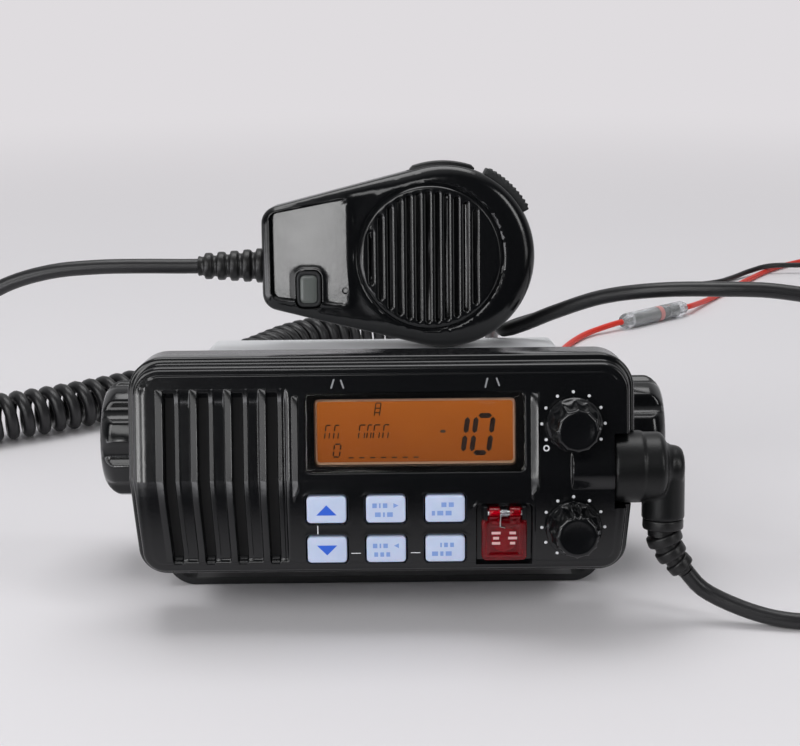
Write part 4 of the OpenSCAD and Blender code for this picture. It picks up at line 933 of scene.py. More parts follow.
for row, names in enumerate(key_names):
    for column, name in enumerate(names):
        middle = (KEY_X[column], KEY_Z[row])
        cap = make_piece(name + "_cap", *face_prism(key_shape, CAP_STEPS, middle), key_white, name)
        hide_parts(name)
        prints = [
            loft([[face_point(middle[0] + x, middle[1] + z, out) for x, z in mark] for out in (1.2, 1.39)])
            for mark in MARKS[name]
        ]
        make_piece(name + "_mark", *joined(prints), light_ink if column else blue_ink, name)


# --- Printed marks on the face ------------------------------------------------
# White pad-printed dots round each knob and short bars between the keys.

white_ink = plastic("pad_printed_ink_white", "#e9ebee", 0.5, grain_mm=0.6, grain_depth=0.05)
KNOB_X, VOLUME_Z, SQUELCH_Z = 60.1, 14.0, -18.9
DIAL_R, DOT_R = 9.9, 0.5


def dot(x, z, radius):
    """A printed dot, slightly domed."""
    loops = []
    turns = [math.radians(30 * k) for k in range(12)]
    for inset, rim_out in ((0, -0.1), (0, 0.03), (0.1, 0.06), (0.3, 0.08)):
        r, out = radius - inset, FIELD_RAISE + rim_out
        loops.append([face_point(x + r * math.cos(a), z + r * math.sin(a), out) for a in turns])
    return loft(loops)


def bar(x0, z0, x1, z1):
    """A printed bar."""
    return loft([
        [face_point(x, z, out) for x, z in ((x0, z0), (x1, z0), (x1, z1), (x0, z1))]
        for out in (FIELD_RAISE - 0.1, FIELD_RAISE + 0.06)
    ])


prints = []
for middle_z, turns in ((VOLUME_Z, range(-120, 121, 30)), (SQUELCH_Z, range(-150, 91, 30))):
    for turn in turns:
        a = math.radians(turn)
        prints.append(dot(KNOB_X + DIAL_R * math.sin(a), middle_z + DIAL_R * math.cos(a), DOT_R))
prints.append(bar(-20.4, -20.4, -20.1, -17.6))
prints.append(bar(-9.9, -27.0, -6.9, -26.75))
prints.append(bar(8.9, -27.0, 11.9, -26.75))
off_ring = [
    [(51.6 + r * math.cos(k * math.pi / 8), 6.4 + r * math.sin(k * math.pi / 8)) for k in range(16)]
    for r in (0.6, 1.0)
]
for k in range(16):
    j = (k + 1) % 16
    loop = [off_ring[0][k], off_ring[1][k], off_ring[1][j], off_ring[0][j]]
    prints.append(loft([[face_point(x, z, FIELD_RAISE + out) for x, z in loop] for out in (-0.1, 0.05)]))
make_piece("dial_marks", *joined(prints), white_ink, "radio")


# Fine raised lines moulded above the display, with a painted highlight in pale
# grey on the slanted end of each.
FRAME_LINES = [
    [(-26.1, 24.4), (-15.8, 24.3), (-14.5, 28.9)], [(-12.6, 28.9), (-11.1, 23.9), (32.2, 23.5), (33.5, 28.8)],
    [(37.0, 28.7), (35.8, 25.6), (47.2, 24.6)],
]
SLASHES = [
    ((-15.5, 25.6), (-14.5, 28.7)), ((-12.5, 28.5), (-11.5, 25.6)),
    ((32.6, 25.4), (33.4, 28.6)), ((36.1, 28.6), (37.1, 25.9)),
]


def raised_line(ends, width, out):
    """A line between two points that stands out of the raised field."""
    loop = bar_loop(*ends[0], *ends[1], width)
    return loft([[face_point(x, z, FIELD_RAISE + o) for x, z in loop] for o in (-0.1, out)])


make_piece("frame_lines", *joined([
    raised_line(ends, 0.3, 0.1) for line in FRAME_LINES for ends in zip(line, line[1:])
]), gloss_abs, "radio")
# Pale grey paint standing in for the highlight on each slanted end.
slash_highlight_grey = plastic("painted_highlight_grey", "#8f9194", 0.5, grain_mm=0.6, grain_depth=0.05)
make_piece("frame_slash_highlights", *joined([
    raised_line(ends, 0.5, 0.13) for ends in SLASHES
]), slash_highlight_grey, "radio")


# --- Knobs --------------------------------------------------------------------
# Two gloss black ABS knobs pushed on to their steel shafts. The skirt has
# scalloped flutes for the fingers and the front is slightly dished.

KNOB_BACK, FLUTES = CREASE_Y - 0.6, 12
KNOB_PROFILE = [
    (8.2, 0), (8.7, 0.15), (8.8, 0.5), (8.8, 1.3), (8.6, 1.75), (8.2, 2.1), (7.9, 2.7), (7.6, 5), (7.35, 8),
    (7.15, 10.6), (7.0, 11.4), (6.7, 11.95), (6.25, 12.35), (5.7, 12.55), (5.2, 12.6), (4.6, 12.5), (3.2, 12.38),
    (1.4, 12.32),
]


def turned_rings(profile, origin, axis, sides, shape=None):
    """Rings round an axis, from a profile of (radius, distance along the axis)."""
    axis = Vector(axis).normalized()
    across = axis.cross(Vector((0, 0, 1)) if abs(axis.z) < 0.9 else Vector((1, 0, 0))).normalized()
    up = across.cross(axis)
    loops = []
    for r, h in profile:
        loop = []
        for k in range(sides):
            a = 2 * math.pi * k / sides
            now = shape(math.degrees(a), r, h) if shape else r
            loop.append(Vector(origin) + (axis * h + (across * math.cos(a) + up * math.sin(a)) * now) * MM)
        loops.append(loop)
    return loops


def spun(*ring_values):
    """A closed turned piece."""
    return loft(turned_rings(*ring_values))


def fluted(turn, r, h):
    """The radius at a turn in degrees, with scalloped flutes that fade at both ends."""
    deep = min(1, max(0, (h - 2.0) / 1.6)) * min(1, max(0, (12.5 - h) / 1.6))
    t = ((turn / 360 * FLUTES) % 1) * 2 - 1
    return r - 1.05 * deep * math.sqrt(max(0, 1 - (t * 1.12) ** 2))


def pointer(turn, r, h):
    """The same, with two fine ridges side by side at the top as a pointer."""
    away = abs((turn - 90 + 180) % 360 - 180)
    if away < 16 and 2.2 < h < 12.4:
        return r - 0.5 + 1.1 * max(0, 1 - ((away - 8.5) / 4.5) ** 2) ** 0.5
    return fluted(turn, r, h)


front_way = turned(0, -1, 0)
for name, middle_z, shape in (("volume", VOLUME_Z, fluted), ("squelch", SQUELCH_Z, pointer)):
    knob = make_piece(name + "_knob_cap", *spun(
        KNOB_PROFILE, placed(KNOB_X, KNOB_BACK, middle_z), front_way, 168, shape
    ), gloss_abs, name, smooth=45)
    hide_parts(name + "_knob")


# --- Distress cover -----------------------------------------------------------
# A hollow flap of tinted clear polycarbonate over the distress button. It hangs
# on a steel pin between two lugs, and a torsion spring holds it shut.

# Tinted polycarbonate: deep crimson, glossy, darker where it is thick.
crimson, tree = empty_material("tinted_polycarbonate_crimson")
tint = two_tone(tree, noise(tree, 4), linear("#b80014"), linear("#dc0020"))
principled(tree, Base_Color=tint, Roughness=0.06, IOR=1.45, Transmission_Weight=0.85)

PIN_Y = float(face_y(np.array(HINGE_Z))) - 2.1
FLAP_W, FLAP_H, FLAP_MID = 14.2, 13.8, HINGE_Z - 9.2

flap = face_prism(rectangle(FLAP_W, FLAP_H, 1.6), [
    (2.2, -0.15), (1.5, -0.2), (1.25, -0.5), (1.2, -1.25), (0.9, -1.3), (0.1, -1.3), (0, -1.2), (0, 0.35),
    (0.12, 0.72), (0.42, 0.96), (0.9, 1.06), (2.0, 1.1), (2.25, 1.02), (2.45, 0.78), (2.7, 0.7), (3.4, 0.7),
], (COVER_X, FLAP_MID))


def knuckle(x0, x1):
    """One hinge knuckle: an eye round the pin that runs down into the flap."""
    z_low = HINGE_Z - 3.4
    y_low = float(face_y(np.array(z_low)))
    turns = [math.radians(a) for a in range(20, 181, 16)]
    outline = [(PIN_Y + 2.0 * math.cos(a), HINGE_Z + 2.0 * math.sin(a)) for a in turns]
    outline += [
        (PIN_Y - 1.95, HINGE_Z - 0.9), (y_low - 1.0, z_low - 0.6), (y_low + 0.7, z_low - 0.6),
        (y_low + 0.9, z_low + 1.2),
    ]
    middle_y = sum(p[0] for p in outline) / len(outline)
    middle_z = sum(p[1] for p in outline) / len(outline)
    loops = []
    for x, inset in ((x0, 0.3), (x0 + 0.12, 0.08), (x0 + 0.35, 0), (x1 - 0.35, 0), (x1 - 0.12, 0.08), (x1, 0.3)):
        shrink = 1 - inset / 2.4
        loops.append([
            placed(x, middle_y + (y - middle_y) * shrink, middle_z + (z - middle_z) * shrink) for y, z in outline
        ])
    return loft(loops)


cover = make_piece("distress_flap", *joined([
    flap, knuckle(COVER_X - 4.95, COVER_X - 1.5), knuckle(COVER_X + 1.5, COVER_X + 4.95),
]), crimson, "distress_cover")
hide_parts("distress_cover")


def metal(name, colour, low, high, grain_mm, detail=4.0):
    """Bare or plated metal whose roughness varies from low to high in a fine grain."""
    material, tree = empty_material(name)
    dull = spread(tree, noise(tree, grain_mm, detail), low, high)
    principled(tree, Base_Color=linear(colour), Metallic=1.0, Roughness=dull)
    return material


# Drawn steel wire and rod: bright, with fine lines along it.
wire_steel = metal("drawn_steel_bright", "#cfd2d6", 0.16, 0.34, 0.8, detail=3.0)

pin = make_piece("distress_hinge_pin", *spun(
    [(0.4, 0), (0.7, 0.12), (0.8, 0.35), (0.8, 12.75), (0.7, 12.98), (0.4, 13.1)],
    placed(COVER_X - 6.55, PIN_Y, HINGE_Z), (1, 0, 0), 24
), wire_steel, "radio")
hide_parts("distress_pin")

# Pad-printed ink on the flap: a flat pale pink.
pale_ink = plastic("pad_printed_ink_pale", "#e6b4b6", 0.45, grain_mm=0.6, grain_depth=0.05)
flap_prints = []
for column, rows_here in ((-2.6, (1.4, 0.9, 1.3)), (2.6, (1.0, 1.4, 0.8))):
    for row, half in enumerate(rows_here):
        z = FLAP_MID + 2.3 - 1.7 * row
        left, right, low, top = column - half, column + half, z - 0.42, z + 0.42
        ring = [(left, low), (right, low), (right, top), (left, top)]
        flap_prints.append(loft([[face_point(COVER_X + x, v, out) for x, v in ring] for out in (0.66, 0.78)]))
make_piece("distress_flap_mark", *joined(flap_prints), pale_ink, "distress_cover")

# The torsion spring: a coil round the pin, with a leg on the flap.
COIL_STEPS, COIL_TURNS, COIL_R = 48, 3, 1.05
coil_route = []
for k in range(COIL_STEPS + 1):
    a = math.radians(-90 + 360 * COIL_TURNS * k / COIL_STEPS)
    x = COVER_X - 1.2 + 1.9 * k / COIL_STEPS
    coil_route.append(placed(x, PIN_Y + COIL_R * math.cos(a), HINGE_Z + COIL_R * math.sin(a)))
leg_route = [
    face_point(COVER_X - 1.3, HINGE_Z - 0.8, 1.9), face_point(COVER_X - 1.35, HINGE_Z - 2.6, 1.5),
    face_point(COVER_X - 1.35, HINGE_Z - 4.6, 1.32), face_point(COVER_X + 0.2, HINGE_Z - 5.0, 1.3),
]
make_piece("distress_spring", *joined([
    tube(coil_route, 0.22 * MM, 8), tube(leg_route, 0.22 * MM, 8),
]), wire_steel, "distress_cover")


def button_outline(inset):
    """A circle as the outline of a prism."""
    r = 4.0 - inset
    return [(r * math.cos(math.radians(a)), r * math.sin(math.radians(a))) for a in range(0, 360, 9)]


# Moulded ABS: warm white and matt.
white_abs = plastic("matt_moulded_abs_white", "#d6d4cf", 0.5, grain_mm=0.8)
button = make_piece("distress_push", *face_prism(
    button_outline, [(0.1, -4.3), (0, -4.2), (0, -0.95), (0.15, -0.66), (0.45, -0.52), (1.4, -0.55), (2.6, -0.62)],
    (COVER_X, BUTTON_Z)
), white_abs, "distress_button")
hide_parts("distress_button")


# --- Microphone plug ----------------------------------------------------------
# A moulded elbow plug in the panel's side socket, and its ribbed PVC boot. Body
# and leg are one black moulding with a fine spark-eroded grain.

satin_abs = plastic(
    "satin_moulded_abs_black", "#0e0f10", 0.36, grain_mm=0.9, grain_depth=0.12, Specular_IOR_Level=0.35
)
PLUG_LEG_X, LEG_R, BOOT_TOP = 89.5, 6.8, -18
body_profile = [
    (11.3, -0.2), (11.45, 0.0), (11.5, 0.3), (11.5, 8.6), (11.25, 9.1), (11.0, 9.4), (11.0, 14.2), (10.7, 15.1),
    (9.8, 15.9), (7.8, 16.9), (6.9, 18.2), (6.6, 20.0), (6.1, 21.2), (5.2, 22.0), (3.6, 22.4),
]
plug_body = spun(body_profile, placed(PLUG_X, PLUG_Y, PLUG_Z), (1, 0, 0), 64)
leg_profile = [(6.2, 0), (6.65, 0.15), (6.8, 0.6), (6.8, 14), (5, 16.4), (3, 16.7)]
plug_leg = spun(leg_profile, placed(PLUG_LEG_X, PLUG_Y, BOOT_TOP), turned(0, 0, 1), 48)
plug = make_piece("plug_moulding", *joined([plug_body, plug_leg]), satin_abs, "radio")
weld = plug.modifiers.new("one_moulding", "REMESH")
weld.mode, weld.voxel_size, weld.use_smooth_shade = "VOXEL", 0.4 * MM, True
ease = plug.modifiers.new("eased_joins", "SMOOTH")
ease.factor, ease.iterations = 0.5, 4
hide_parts("mic_plug")

# Soft PVC: black and satin, with a fine grain.
boot_pvc = plastic("soft_pvc_boot_black", "#0f0f10", 0.4, grain_mm=0.7, grain_depth=0.15)
boot_parts = []
for k, turn in enumerate(BOOT_TURNS):
    r, neck = LEG_R - 0.3 - 0.75 * k, LEG_R - 2 - 0.7 * k
    a = math.radians(turn)
    axis = turned(math.cos(a), 0, math.sin(a))
    x, z = boot_points[k]
    profile = [(r - 0.6, 0), (r - 0.1, 0.25), (r, 0.7), (r, 2.7), (r - 0.15, 3.2), (r - 0.6, 3.4), (neck, 3.6)]
    last = k == len(BOOT_TURNS) - 1
    profile += [(neck, 4.6), (neck - 0.4, 5.0)] if last else [(neck, 5.6), (neck - 0.6, 5.9)]
    boot_parts.append(spun(profile, placed(x, PLUG_Y, z), axis, 40))
boot = make_piece("plug_boot_ribs", *joined(boot_parts), boot_pvc, "radio", smooth=55)
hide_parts("plug_boot")


# --- Microphone shells --------------------------------------------------------
# A fist microphone in two gloss black ABS shells that meet at mid depth. The
# front has a round louvred grille, a flat plate on the tail and a key pocket.
# Two recesses in the rim take the talk bar and the rocker.

from mathutils.geometry import delaunay_2d_cdt

MIC_R = 31.5
TAIL_X, TAIL_Z, TAIL_R = 56.5, 12, 6
TAIL_TURN = math.degrees(
    math.atan2(TAIL_Z, -TAIL_X) - math.acos((MIC_R - TAIL_R) / math.hypot(TAIL_X, TAIL_Z))
)
GRILLE_X, GRILLE_R, GRILLE_SHIFT, SLOT_PITCH, SLOT_W, SLOTS = -4.5, 24.5, -2.5, 3.25, 1.5, 12
MIC_KEY, KEY_POCKET = (-46.5, -10.6), (9.0, 13.0, 2.6)
SOUND_HOLE_X, SOUND_HOLE_Z = -33.9, -11.2
TALK_TURN, ROCKER_TURN, RIM_FLOOR_R = (70, 111), (28, 63), 24.8


def mic_point(x, y, z):
    """A point in millimetres from the middle of the microphone's head, y from its front."""
    return placed(21.5 + x, y - 5, 62.3 + z)


def mic_loop(inset, steps=2.0):
    """The shell's outline: a round head, straight flanks and a round-cornered tail."""
    turns = list(np.arange(-TAIL_TURN, TAIL_TURN, steps))
    for a0, a1 in (TALK_TURN, ROCKER_TURN):
        turns += [a0 - 1.65, a0 - 1.35, a1 + 1.35, a1 + 1.65]
    loop = [((MIC_R - inset) * math.cos(math.radians(a)), (MIC_R - inset) * math.sin(math.radians(a)))
            for a in sorted(t for t in turns if t < TAIL_TURN)]
    r = TAIL_R - inset
    tail = []
    for z, start, end in ((TAIL_Z, TAIL_TURN, 180), (-TAIL_Z, 180, 360 - TAIL_TURN)):
        for k in range(9):
            a = math.radians(start + (end - start) * k / 8)
            tail.append((-TAIL_X + r * math.cos(a), z + r * math.sin(a)))
    flank = math.radians(TAIL_TURN)
    head = ((MIC_R - inset) * math.cos(flank), (MIC_R - inset) * math.sin(flank))
    up = []
    for k in range(21):
        x, z = (head[i] + (tail[0][i] - head[i]) * k / 21 for i in (0, 1))
        up.append((x, z))
    up.insert(5, tuple(up[4][i] + (up[5][i] - up[4][i]) * 0.1 for i in (0, 1)))
    down = [(x, -z) for x, z in reversed(up)]
    return loop + up + tail + down[:-1]


def flank_gap(x, z):
    """How far a point lies inside the shell's outline."""
    a = math.radians(TAIL_TURN)
    z = abs(z)
    along = -x * math.sin(a) + z * math.cos(a)
    line = MIC_R - (x * math.cos(a) + z * math.sin(a))
    round_head = MIC_R - np.hypot(x, z)
    round_tail = TAIL_R - np.hypot(np.minimum(x + TAIL_X, 0), np.maximum(z - TAIL_Z, 0) * (x < -TAIL_X))
    inside = np.where(along < 0, round_head, line)
    return np.minimum(inside, np.where(x < -TAIL_X, round_tail, 99))


PLATE_R, PLATE_X, PLATE_SLOPE = 2.6, -32.4, 0.14
PLATE = [(-59.4, -13.4), (-32.0, -16.4), (-32.0, 20.6), (-59.4, 15.4)]


def rounded(corners, r, inset=0.0, turns=5):
    """A polygon's outline with rounded corners, drawn in by inset."""
    loop = []
    count = len(corners)
    for k in range(count):
        p0, p1, p2 = (Vector(corners[(k + j) % count]) for j in (-1, 0, 1))
        a, b = (p0 - p1).normalized(), (p2 - p1).normalized()
        half = a.angle(b) / 2
        middle = p1 + (a + b).normalized() * (r / math.sin(half))
        now = r - inset
        ends = [(p1 + way * (way.dot(middle - p1)) - middle).normalized() for way in (a, b)]
        for j in range(turns + 1):
            way = ends[0].slerp(ends[1], j / turns) if ends[0].angle(ends[1]) > 1e-3 else ends[0]
            loop.append(tuple(middle + way * now))
    return loop


def polygon_gap(x, z, corners, r):
    """Distance outside a convex polygon with rounded corners, negative inside it."""
    inner = [tuple(p) for p in rounded(corners, r, r - 0.001, 1)[::2]]
    side = None
    for (ax, az), (bx, bz) in zip(inner, inner[1:] + inner[:1]):
        away = ((x - ax) * (bz - az) - (z - az) * (bx - ax)) / math.hypot(bx - ax, bz - az)
        side = away if side is None else np.maximum(side, away)
    return np.where(side < 0, side, line_gap(x, z, inner + inner[:1])) - r


def slot_places():
    """The middle and half the height of each slot in the grille."""
    for i in range(SLOTS):
        x = (i - (SLOTS - 1) / 2) * SLOT_PITCH + GRILLE_SHIFT
        yield GRILLE_X + x, math.sqrt((GRILLE_R - 2.2) ** 2 - x * x)


def mic_face(x, z):
    """How far the front lies behind the foremost plane, in millimetres."""
    gap = flank_gap(x, z)
    # The edge rolls off, wider and deeper round the head than on the tail.
    head = np.clip((x + 42) / 26, 0, 1)
    wide = 3.2 + 2.4 * head
    t = np.clip(1 - gap / wide, 0, 1)
    y = 0.75 + (2.6 + 1.9 * head) * (1 - np.sqrt(1 - t * t))
    # The grille: a raised disc with a groove round it, and slots with eased lips.
    r = np.hypot(x - GRILLE_X, z)
    y -= 0.75 * rise(GRILLE_R - 0.3 - r, 0.5)
    y += 0.5 * rise(0.45 - abs(r - GRILLE_R - 0.45), 0.3)
    y += 0.3 * np.clip((r - GRILLE_R - 1) / 4, 0, 1) * head
    for middle, half in slot_places():
        away = box_gap(x, z, middle, 0, SLOT_W, 2 * half, SLOT_W / 2 - 0.02)
        beside_slot = np.clip(1 - away / 0.75, 0, 1) ** 2 * (away > -0.14) * (r < GRILLE_R - 0.5)
        y += 2.0 * rise(-away, 0.14) + 0.28 * beside_slot
    # The flat plate in its groove, the key's pocket and the small sound hole.
    plate = polygon_gap(x, z, PLATE, PLATE_R)
    flat = 0.5 + (PLATE_X - x) * PLATE_SLOPE
    share = rise(-plate, 0.35)
    y = y * (1 - share) + flat * share
    y -= 0.22 * rise(0.42 - abs(plate - 0.5), 0.3) * (gap > 1)
    key = box_gap(x, z, *MIC_KEY, *KEY_POCKET)
    y += 3.7 * rise(-key, 0.18) - 0.25 * rise(0.4 - abs(key - 0.4), 0.3)
    y += 1.3 * rise(1.0 - np.hypot(x - SOUND_HOLE_X, z - SOUND_HOLE_Z), 0.18)
    return y


def shell_front():
    """The front's points and faces in the plane, cut along every edge of its relief."""
    loops = [mic_loop(inset) for inset in (0, 0.1, 0.35, 0.75, 1.3, 2.0, 2.9, 4.0, 5.2)]
    circle = [(math.cos(math.radians(a)), math.sin(math.radians(a))) for a in range(0, 360, 3)]
    for r in (23.7, 24.1, 24.5, 24.75, 25.1, 25.5):
        loops.append([(GRILLE_X + r * c, r * s) for c, s in circle])
    for middle, half in slot_places():
        for inset in (-0.75, -0.4, -0.14, 0.14):
            loops.append([(middle + x, z) for x, z in round_loop(SLOT_W, 2 * half, SLOT_W / 2 - 0.02, inset)])
    for inset in (-0.9, -0.5, -0.3, 0.0, 0.35):
        loops.append(rounded(PLATE, PLATE_R, inset))
    for inset in (-0.8, -0.4, -0.18, 0.18):
        loops.append([(MIC_KEY[0] + x, MIC_KEY[1] + z) for x, z in round_loop(*KEY_POCKET, inset)])
    for r in (0.8, 1.2):
        loops.append([(SOUND_HOLE_X + r * c, SOUND_HOLE_Z + r * s) for c, s in circle[::10]])
    points, edges = [], []
    for loop in loops:
        first = len(points)
        points += [Vector(p) for p in loop]
        edges += [(first + k, first + (k + 1) % len(loop)) for k in range(len(loop))]
    taken = np.array([tuple(p) for p in points])
    for x in np.arange(-61, 31, 1.25):
        for z in np.arange(-31, 31.1, 1.25):
            if flank_gap(np.array(x), np.array(z)) > 0.4 and np.min(np.hypot(taken[:, 0] - x, taken[:, 1] - z)) > 0.5:
                points.append(Vector((x, z)))
    verts, _, faces, *_ = delaunay_2d_cdt(points, edges, [], 1, 1e-4)
    return verts, [tuple(face) for face in faces]


def notched(loop, deep):
    """The outline with the rim's two recesses cut into it."""
    out = []
    for x, z in loop:
        a = math.degrees(math.atan2(z, x))
        cut = any(a0 - 1.5 < a < a1 + 1.5 for a0, a1 in (TALK_TURN, ROCKER_TURN)) and math.hypot(x, z) > 25
        r = min(math.hypot(x, z), RIM_FLOOR_R) if cut and deep else math.hypot(x, z)
        out.append((r * math.cos(math.radians(a)), r * math.sin(math.radians(a))))
    return out


def mic_rings(steps):
    """Rings round the shell. Steps are (inset, y, whether the recesses are cut)."""
    return [[mic_point(x, y, z) for x, z in notched(mic_loop(inset), deep)] for inset, y, deep in steps]


# The front: its relief in the plane, and rings from its rim down to the joint.
front_verts, front_faces = shell_front()
fx = np.array([v.x for v in front_verts])
fz = np.array([v.y for v in front_verts])
fy = mic_face(fx, fz)
front_points = [mic_point(x, y, z) for x, y, z in zip(fx, fy, fz)]
known = {(round(float(x), 3), round(float(z), 3)): k for k, (x, z) in enumerate(zip(fx, fz))}
rim = [known[(round(x, 3), round(z, 3))] for x, z in mic_loop(0)]
rings = mic_rings([(0, 5.7, False), (0, 5.7, True), (0, 14.55, True), (0.25, 14.8, True), (0.3, 14.95, True)])
before = rim
for ring in rings:
    now = list(range(len(front_points), len(front_points) + len(ring)))
    front_points += ring
    front_faces += [(before[k], before[(k + 1) % len(now)], now[(k + 1) % len(now)], now[k]) for k in range(len(now))]
    before = now
front_faces.append(tuple(before))
front_shell = make_piece("mic_shell_front", front_points, front_faces, gloss_abs, "microphone", smooth=38)
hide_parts("mic_front_shell")

rear_points, rear_faces = loft(mic_rings([
    (0.3, 14.97, True), (0.25, 15.1, True), (0, 15.35, True), (0, 22.3, True), (0, 22.3, False),
    (0.15, 23.6, False), (0.5, 25.2, False), (1.1, 26.6, False), (1.9, 27.7, False), (2.9, 28.5, False),
    (4.2, 28.9, False), (5.4, 29, False),
]))
rear_shell = make_piece("mic_shell_rear", rear_points, rear_faces, gloss_abs, "microphone", smooth=38)
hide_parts("mic_rear_shell")


# --- Microphone controls ------------------------------------------------------
# A hard talk bar and a ribbed rubber rocker in the rim, and a small key with a
# rubber surround on the plate.

# Moulded rubber: charcoal, nearly matt, with a light bloom.
grip_rubber = plastic("moulded_rubber_charcoal", "#1d1e20", 0.62, grain_mm=0.9, grain_depth=0.3)


def rim_sector(r0, r1, a0, a1, inset, ridge=0.0, ridges=0):
    """The outline of a piece of the rim between two radii and two turns in degrees."""
    eat = math.degrees(inset / r1)
    steps = 72 if ridges else 16
    turns = [a0 + eat + (a1 - a0 - 2 * eat) * k / steps for k in range(steps + 1)]
    outer = []
    for k, a in enumerate(turns):
        edge = min(1, (a - a0) / 2, (a1 - a) / 2)
        r = r1 - inset - 1.1 * (1 - math.sqrt(max(0, 1 - (1 - max(0, edge)) ** 2)))
        r -= ridge * (0.5 - 0.5 * math.cos(2 * math.pi * ridges * k / steps)) if ridges else 0
        outer.append((r * math.cos(math.radians(a)), r * math.sin(math.radians(a))))
    r = r0 + inset
    inner = [(r * math.cos(math.radians(a)), r * math.sin(math.radians(a))) for a in reversed(turns)]
    return outer + inner


def rim_piece(r0, r1, turn, low, high, **more):
    """A piece of the rim with rounded edges, its front at low and its back at high."""
    steps = [
        (0.9, low), (0.35, low + 0.2), (0.1, low + 0.6), (0, low + 1.1), (0, high - 1.1), (0.1, high - 0.6),
        (0.35, high - 0.2), (0.9, high),
    ]
    return loft([[mic_point(x, y, z) for x, z in rim_sector(r0, r1, *turn, inset, **more)] for inset, y in steps])


bar_piece = make_piece("mic_talk_bar", *rim_piece(26.7, 32.8, TALK_TURN, 6, 22), satin_abs, "talk_bar")
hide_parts("talk_bar")
rocker_piece = make_piece(
    "mic_rocker", *rim_piece(27, 34.3, ROCKER_TURN, 6.4, 21.6, ridge=0.55, ridges=12), grip_rubber, "channel_rocker"
)
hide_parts("channel_rocker")

# Moulded ABS: glossy mid grey.
key_grey = plastic("gloss_moulded_abs_grey", "#5d615f", 0.25, grain_mm=0.7, grain_depth=0.05)


def key_pad(width, height, corner, steps):
    """A closed pad over the key's middle. Steps are (inset, y)."""
    return loft([[
        mic_point(MIC_KEY[0] + x, y, MIC_KEY[1] + z) for x, z in round_loop(width, height, corner, inset)
    ] for inset, y in steps])


rim_rubber = make_piece("mic_key_surround", *key_pad(8.4, 12.4, 2.4, [
    (0.2, 4.4), (0, 4.2), (0, 1.5), (0.15, 1.15), (0.5, 0.95), (0.9, 1.0), (1.2, 1.25), (2.0, 1.5),
]), grip_rubber, "mic_key")
make_piece("mic_key_pad", *key_pad(5.8, 9.6, 1.6, [
    (0.1, 2.6), (0, 2.4), (0, 0.9), (0.12, 0.62), (0.4, 0.45), (1.2, 0.4),
]), key_grey, "mic_key")
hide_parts("mic_key")

# The ribbed boot where the cord leaves, and the steel stud that hangs the
# microphone up.
boot_profile = [(5.2, 0), (5.8, 0.2), (6.0, 0.7), (6.0, 2.2)]
for k in range(5):
    r = 6 - 0.35 * k
    h = 4.5 * k
    boot_profile += [(r - 0.25, h + 2.6), (r - 1.2, h + 2.95), (r - 1.35, h + 3.6), (r - 1.2, h + 4.2)]
    if k < 4:
        r -= 0.35
        boot_profile += [(r - 0.25, h + 4.55), (r, h + 5.0), (r + 0.03, h + 5.9), (r, h + 6.7)]
boot_profile += [(3.5, 22.8), (3.2, 23)]
mic_boot = make_piece("mic_boot_ribs", *spun(
    boot_profile, mic_point(-62.5, 12, -3), (-1, 0, 0), 48
), boot_pvc, "microphone", smooth=60)
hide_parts("mic_boot")

# Nickel plate on turned steel: warm bright metal, a little wiped.
nickel = metal("nickel_plated_steel", "#c6c1b6", 0.18, 0.36, 3)

hanger = make_piece("mic_hang_stud", *spun([
    (3.3, -0.4), (3.5, 0), (3.5, 3.3), (3.9, 3.8), (5.6, 4.0), (6.2, 4.15), (6.5, 4.6), (6.5, 5.3), (6.2, 5.75),
    (5.4, 5.97), (2.2, 6.0), (1.9, 5.6),
], mic_point(0, 29, 0), turned(0, 1, 0), 48), nickel, "microphone")
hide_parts("mic_hanger")


# --- Mounting clamps ----------------------------------------------------------
# Two big lobed hand knobs in black ABS, moulded over the heads of steel bolts
# that pass through the bracket's arms into the case.

CLAMP_OUT, WHEEL_R, LOBES = 74, 20, 8
CLAMP_PROFILE = [
    (3.3, 0.02), (10.4, 0.02), (10.9, 0.3), (11, 0.8), (11, 5.2), (11.6, 5.6), (17.6, 5.7), (19, 5.9), (19.7, 6.5),
    (20, 7.5), (20, 17.4), (19.7, 18.6), (19, 19.8), (17.8, 21.1), (16.6, 22.0), (15.4, 22.45), (14.2, 22.6),
    (13.2, 22.35), (12.6, 21.95), (11.8, 21.75), (6, 21.65), (3.4, 21.65),
]


def lobed(turn, r, h):
    """The radius at a turn in degrees, with a round hollow between each two lobes."""
    if h < 5.5:
        return r
    lobe = 360 / LOBES
    away = abs((turn + lobe / 2) % lobe - lobe / 2)
    far, hollow = WHEEL_R + 3.4, 5.6
    s = far * math.sin(math.radians(away))
    if s >= hollow:
        return r
    scoop = far * math.cos(math.radians(away)) - math.sqrt(hollow**2 - s**2)
    t = max(0, min(1, 0.5 + (r - scoop) / 1.6))
    return min(r, r * (1 - t) + scoop * t + 0.4 * t * (1 - t))


for side, name in ((-1, "left"), (1, "right")):
    wheel = make_piece("clamp_wheel_" + name, *spun(
        CLAMP_PROFILE, placed(side * CLAMP_OUT, 0, 0), (side, 0, 0), 144, lobed
    ), gloss_abs, "clamp_" + name, smooth=42)
    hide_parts("clamp_knob_" + name)


# --- Fuse holder --------------------------------------------------------------
# A clear polycarbonate barrel with a glass fuse between two crimped brass
# contacts, and a collar where its halves screw together.

# Clear polycarbonate: nearly colourless, dulled here and there by scuffs.
frosted, tree = empty_material("clear_polycarbonate_scuffed")
dull = spread(tree, noise(tree, 2.5, 3.0), 0.08, 0.3)
principled(tree, Base_Color=linear("#eef1f3"), Roughness=dull, IOR=1.45, Transmission_Weight=0.85)
# Tinned brass: a dull warm grey metal.
tinned = plastic("tinned_brass_dull", "#8d8b86", 0.34, grain_mm=1.0, grain_depth=0.1, Metallic=1.0)
FUSE_LEN = (fuse_to - fuse_from).length / MM


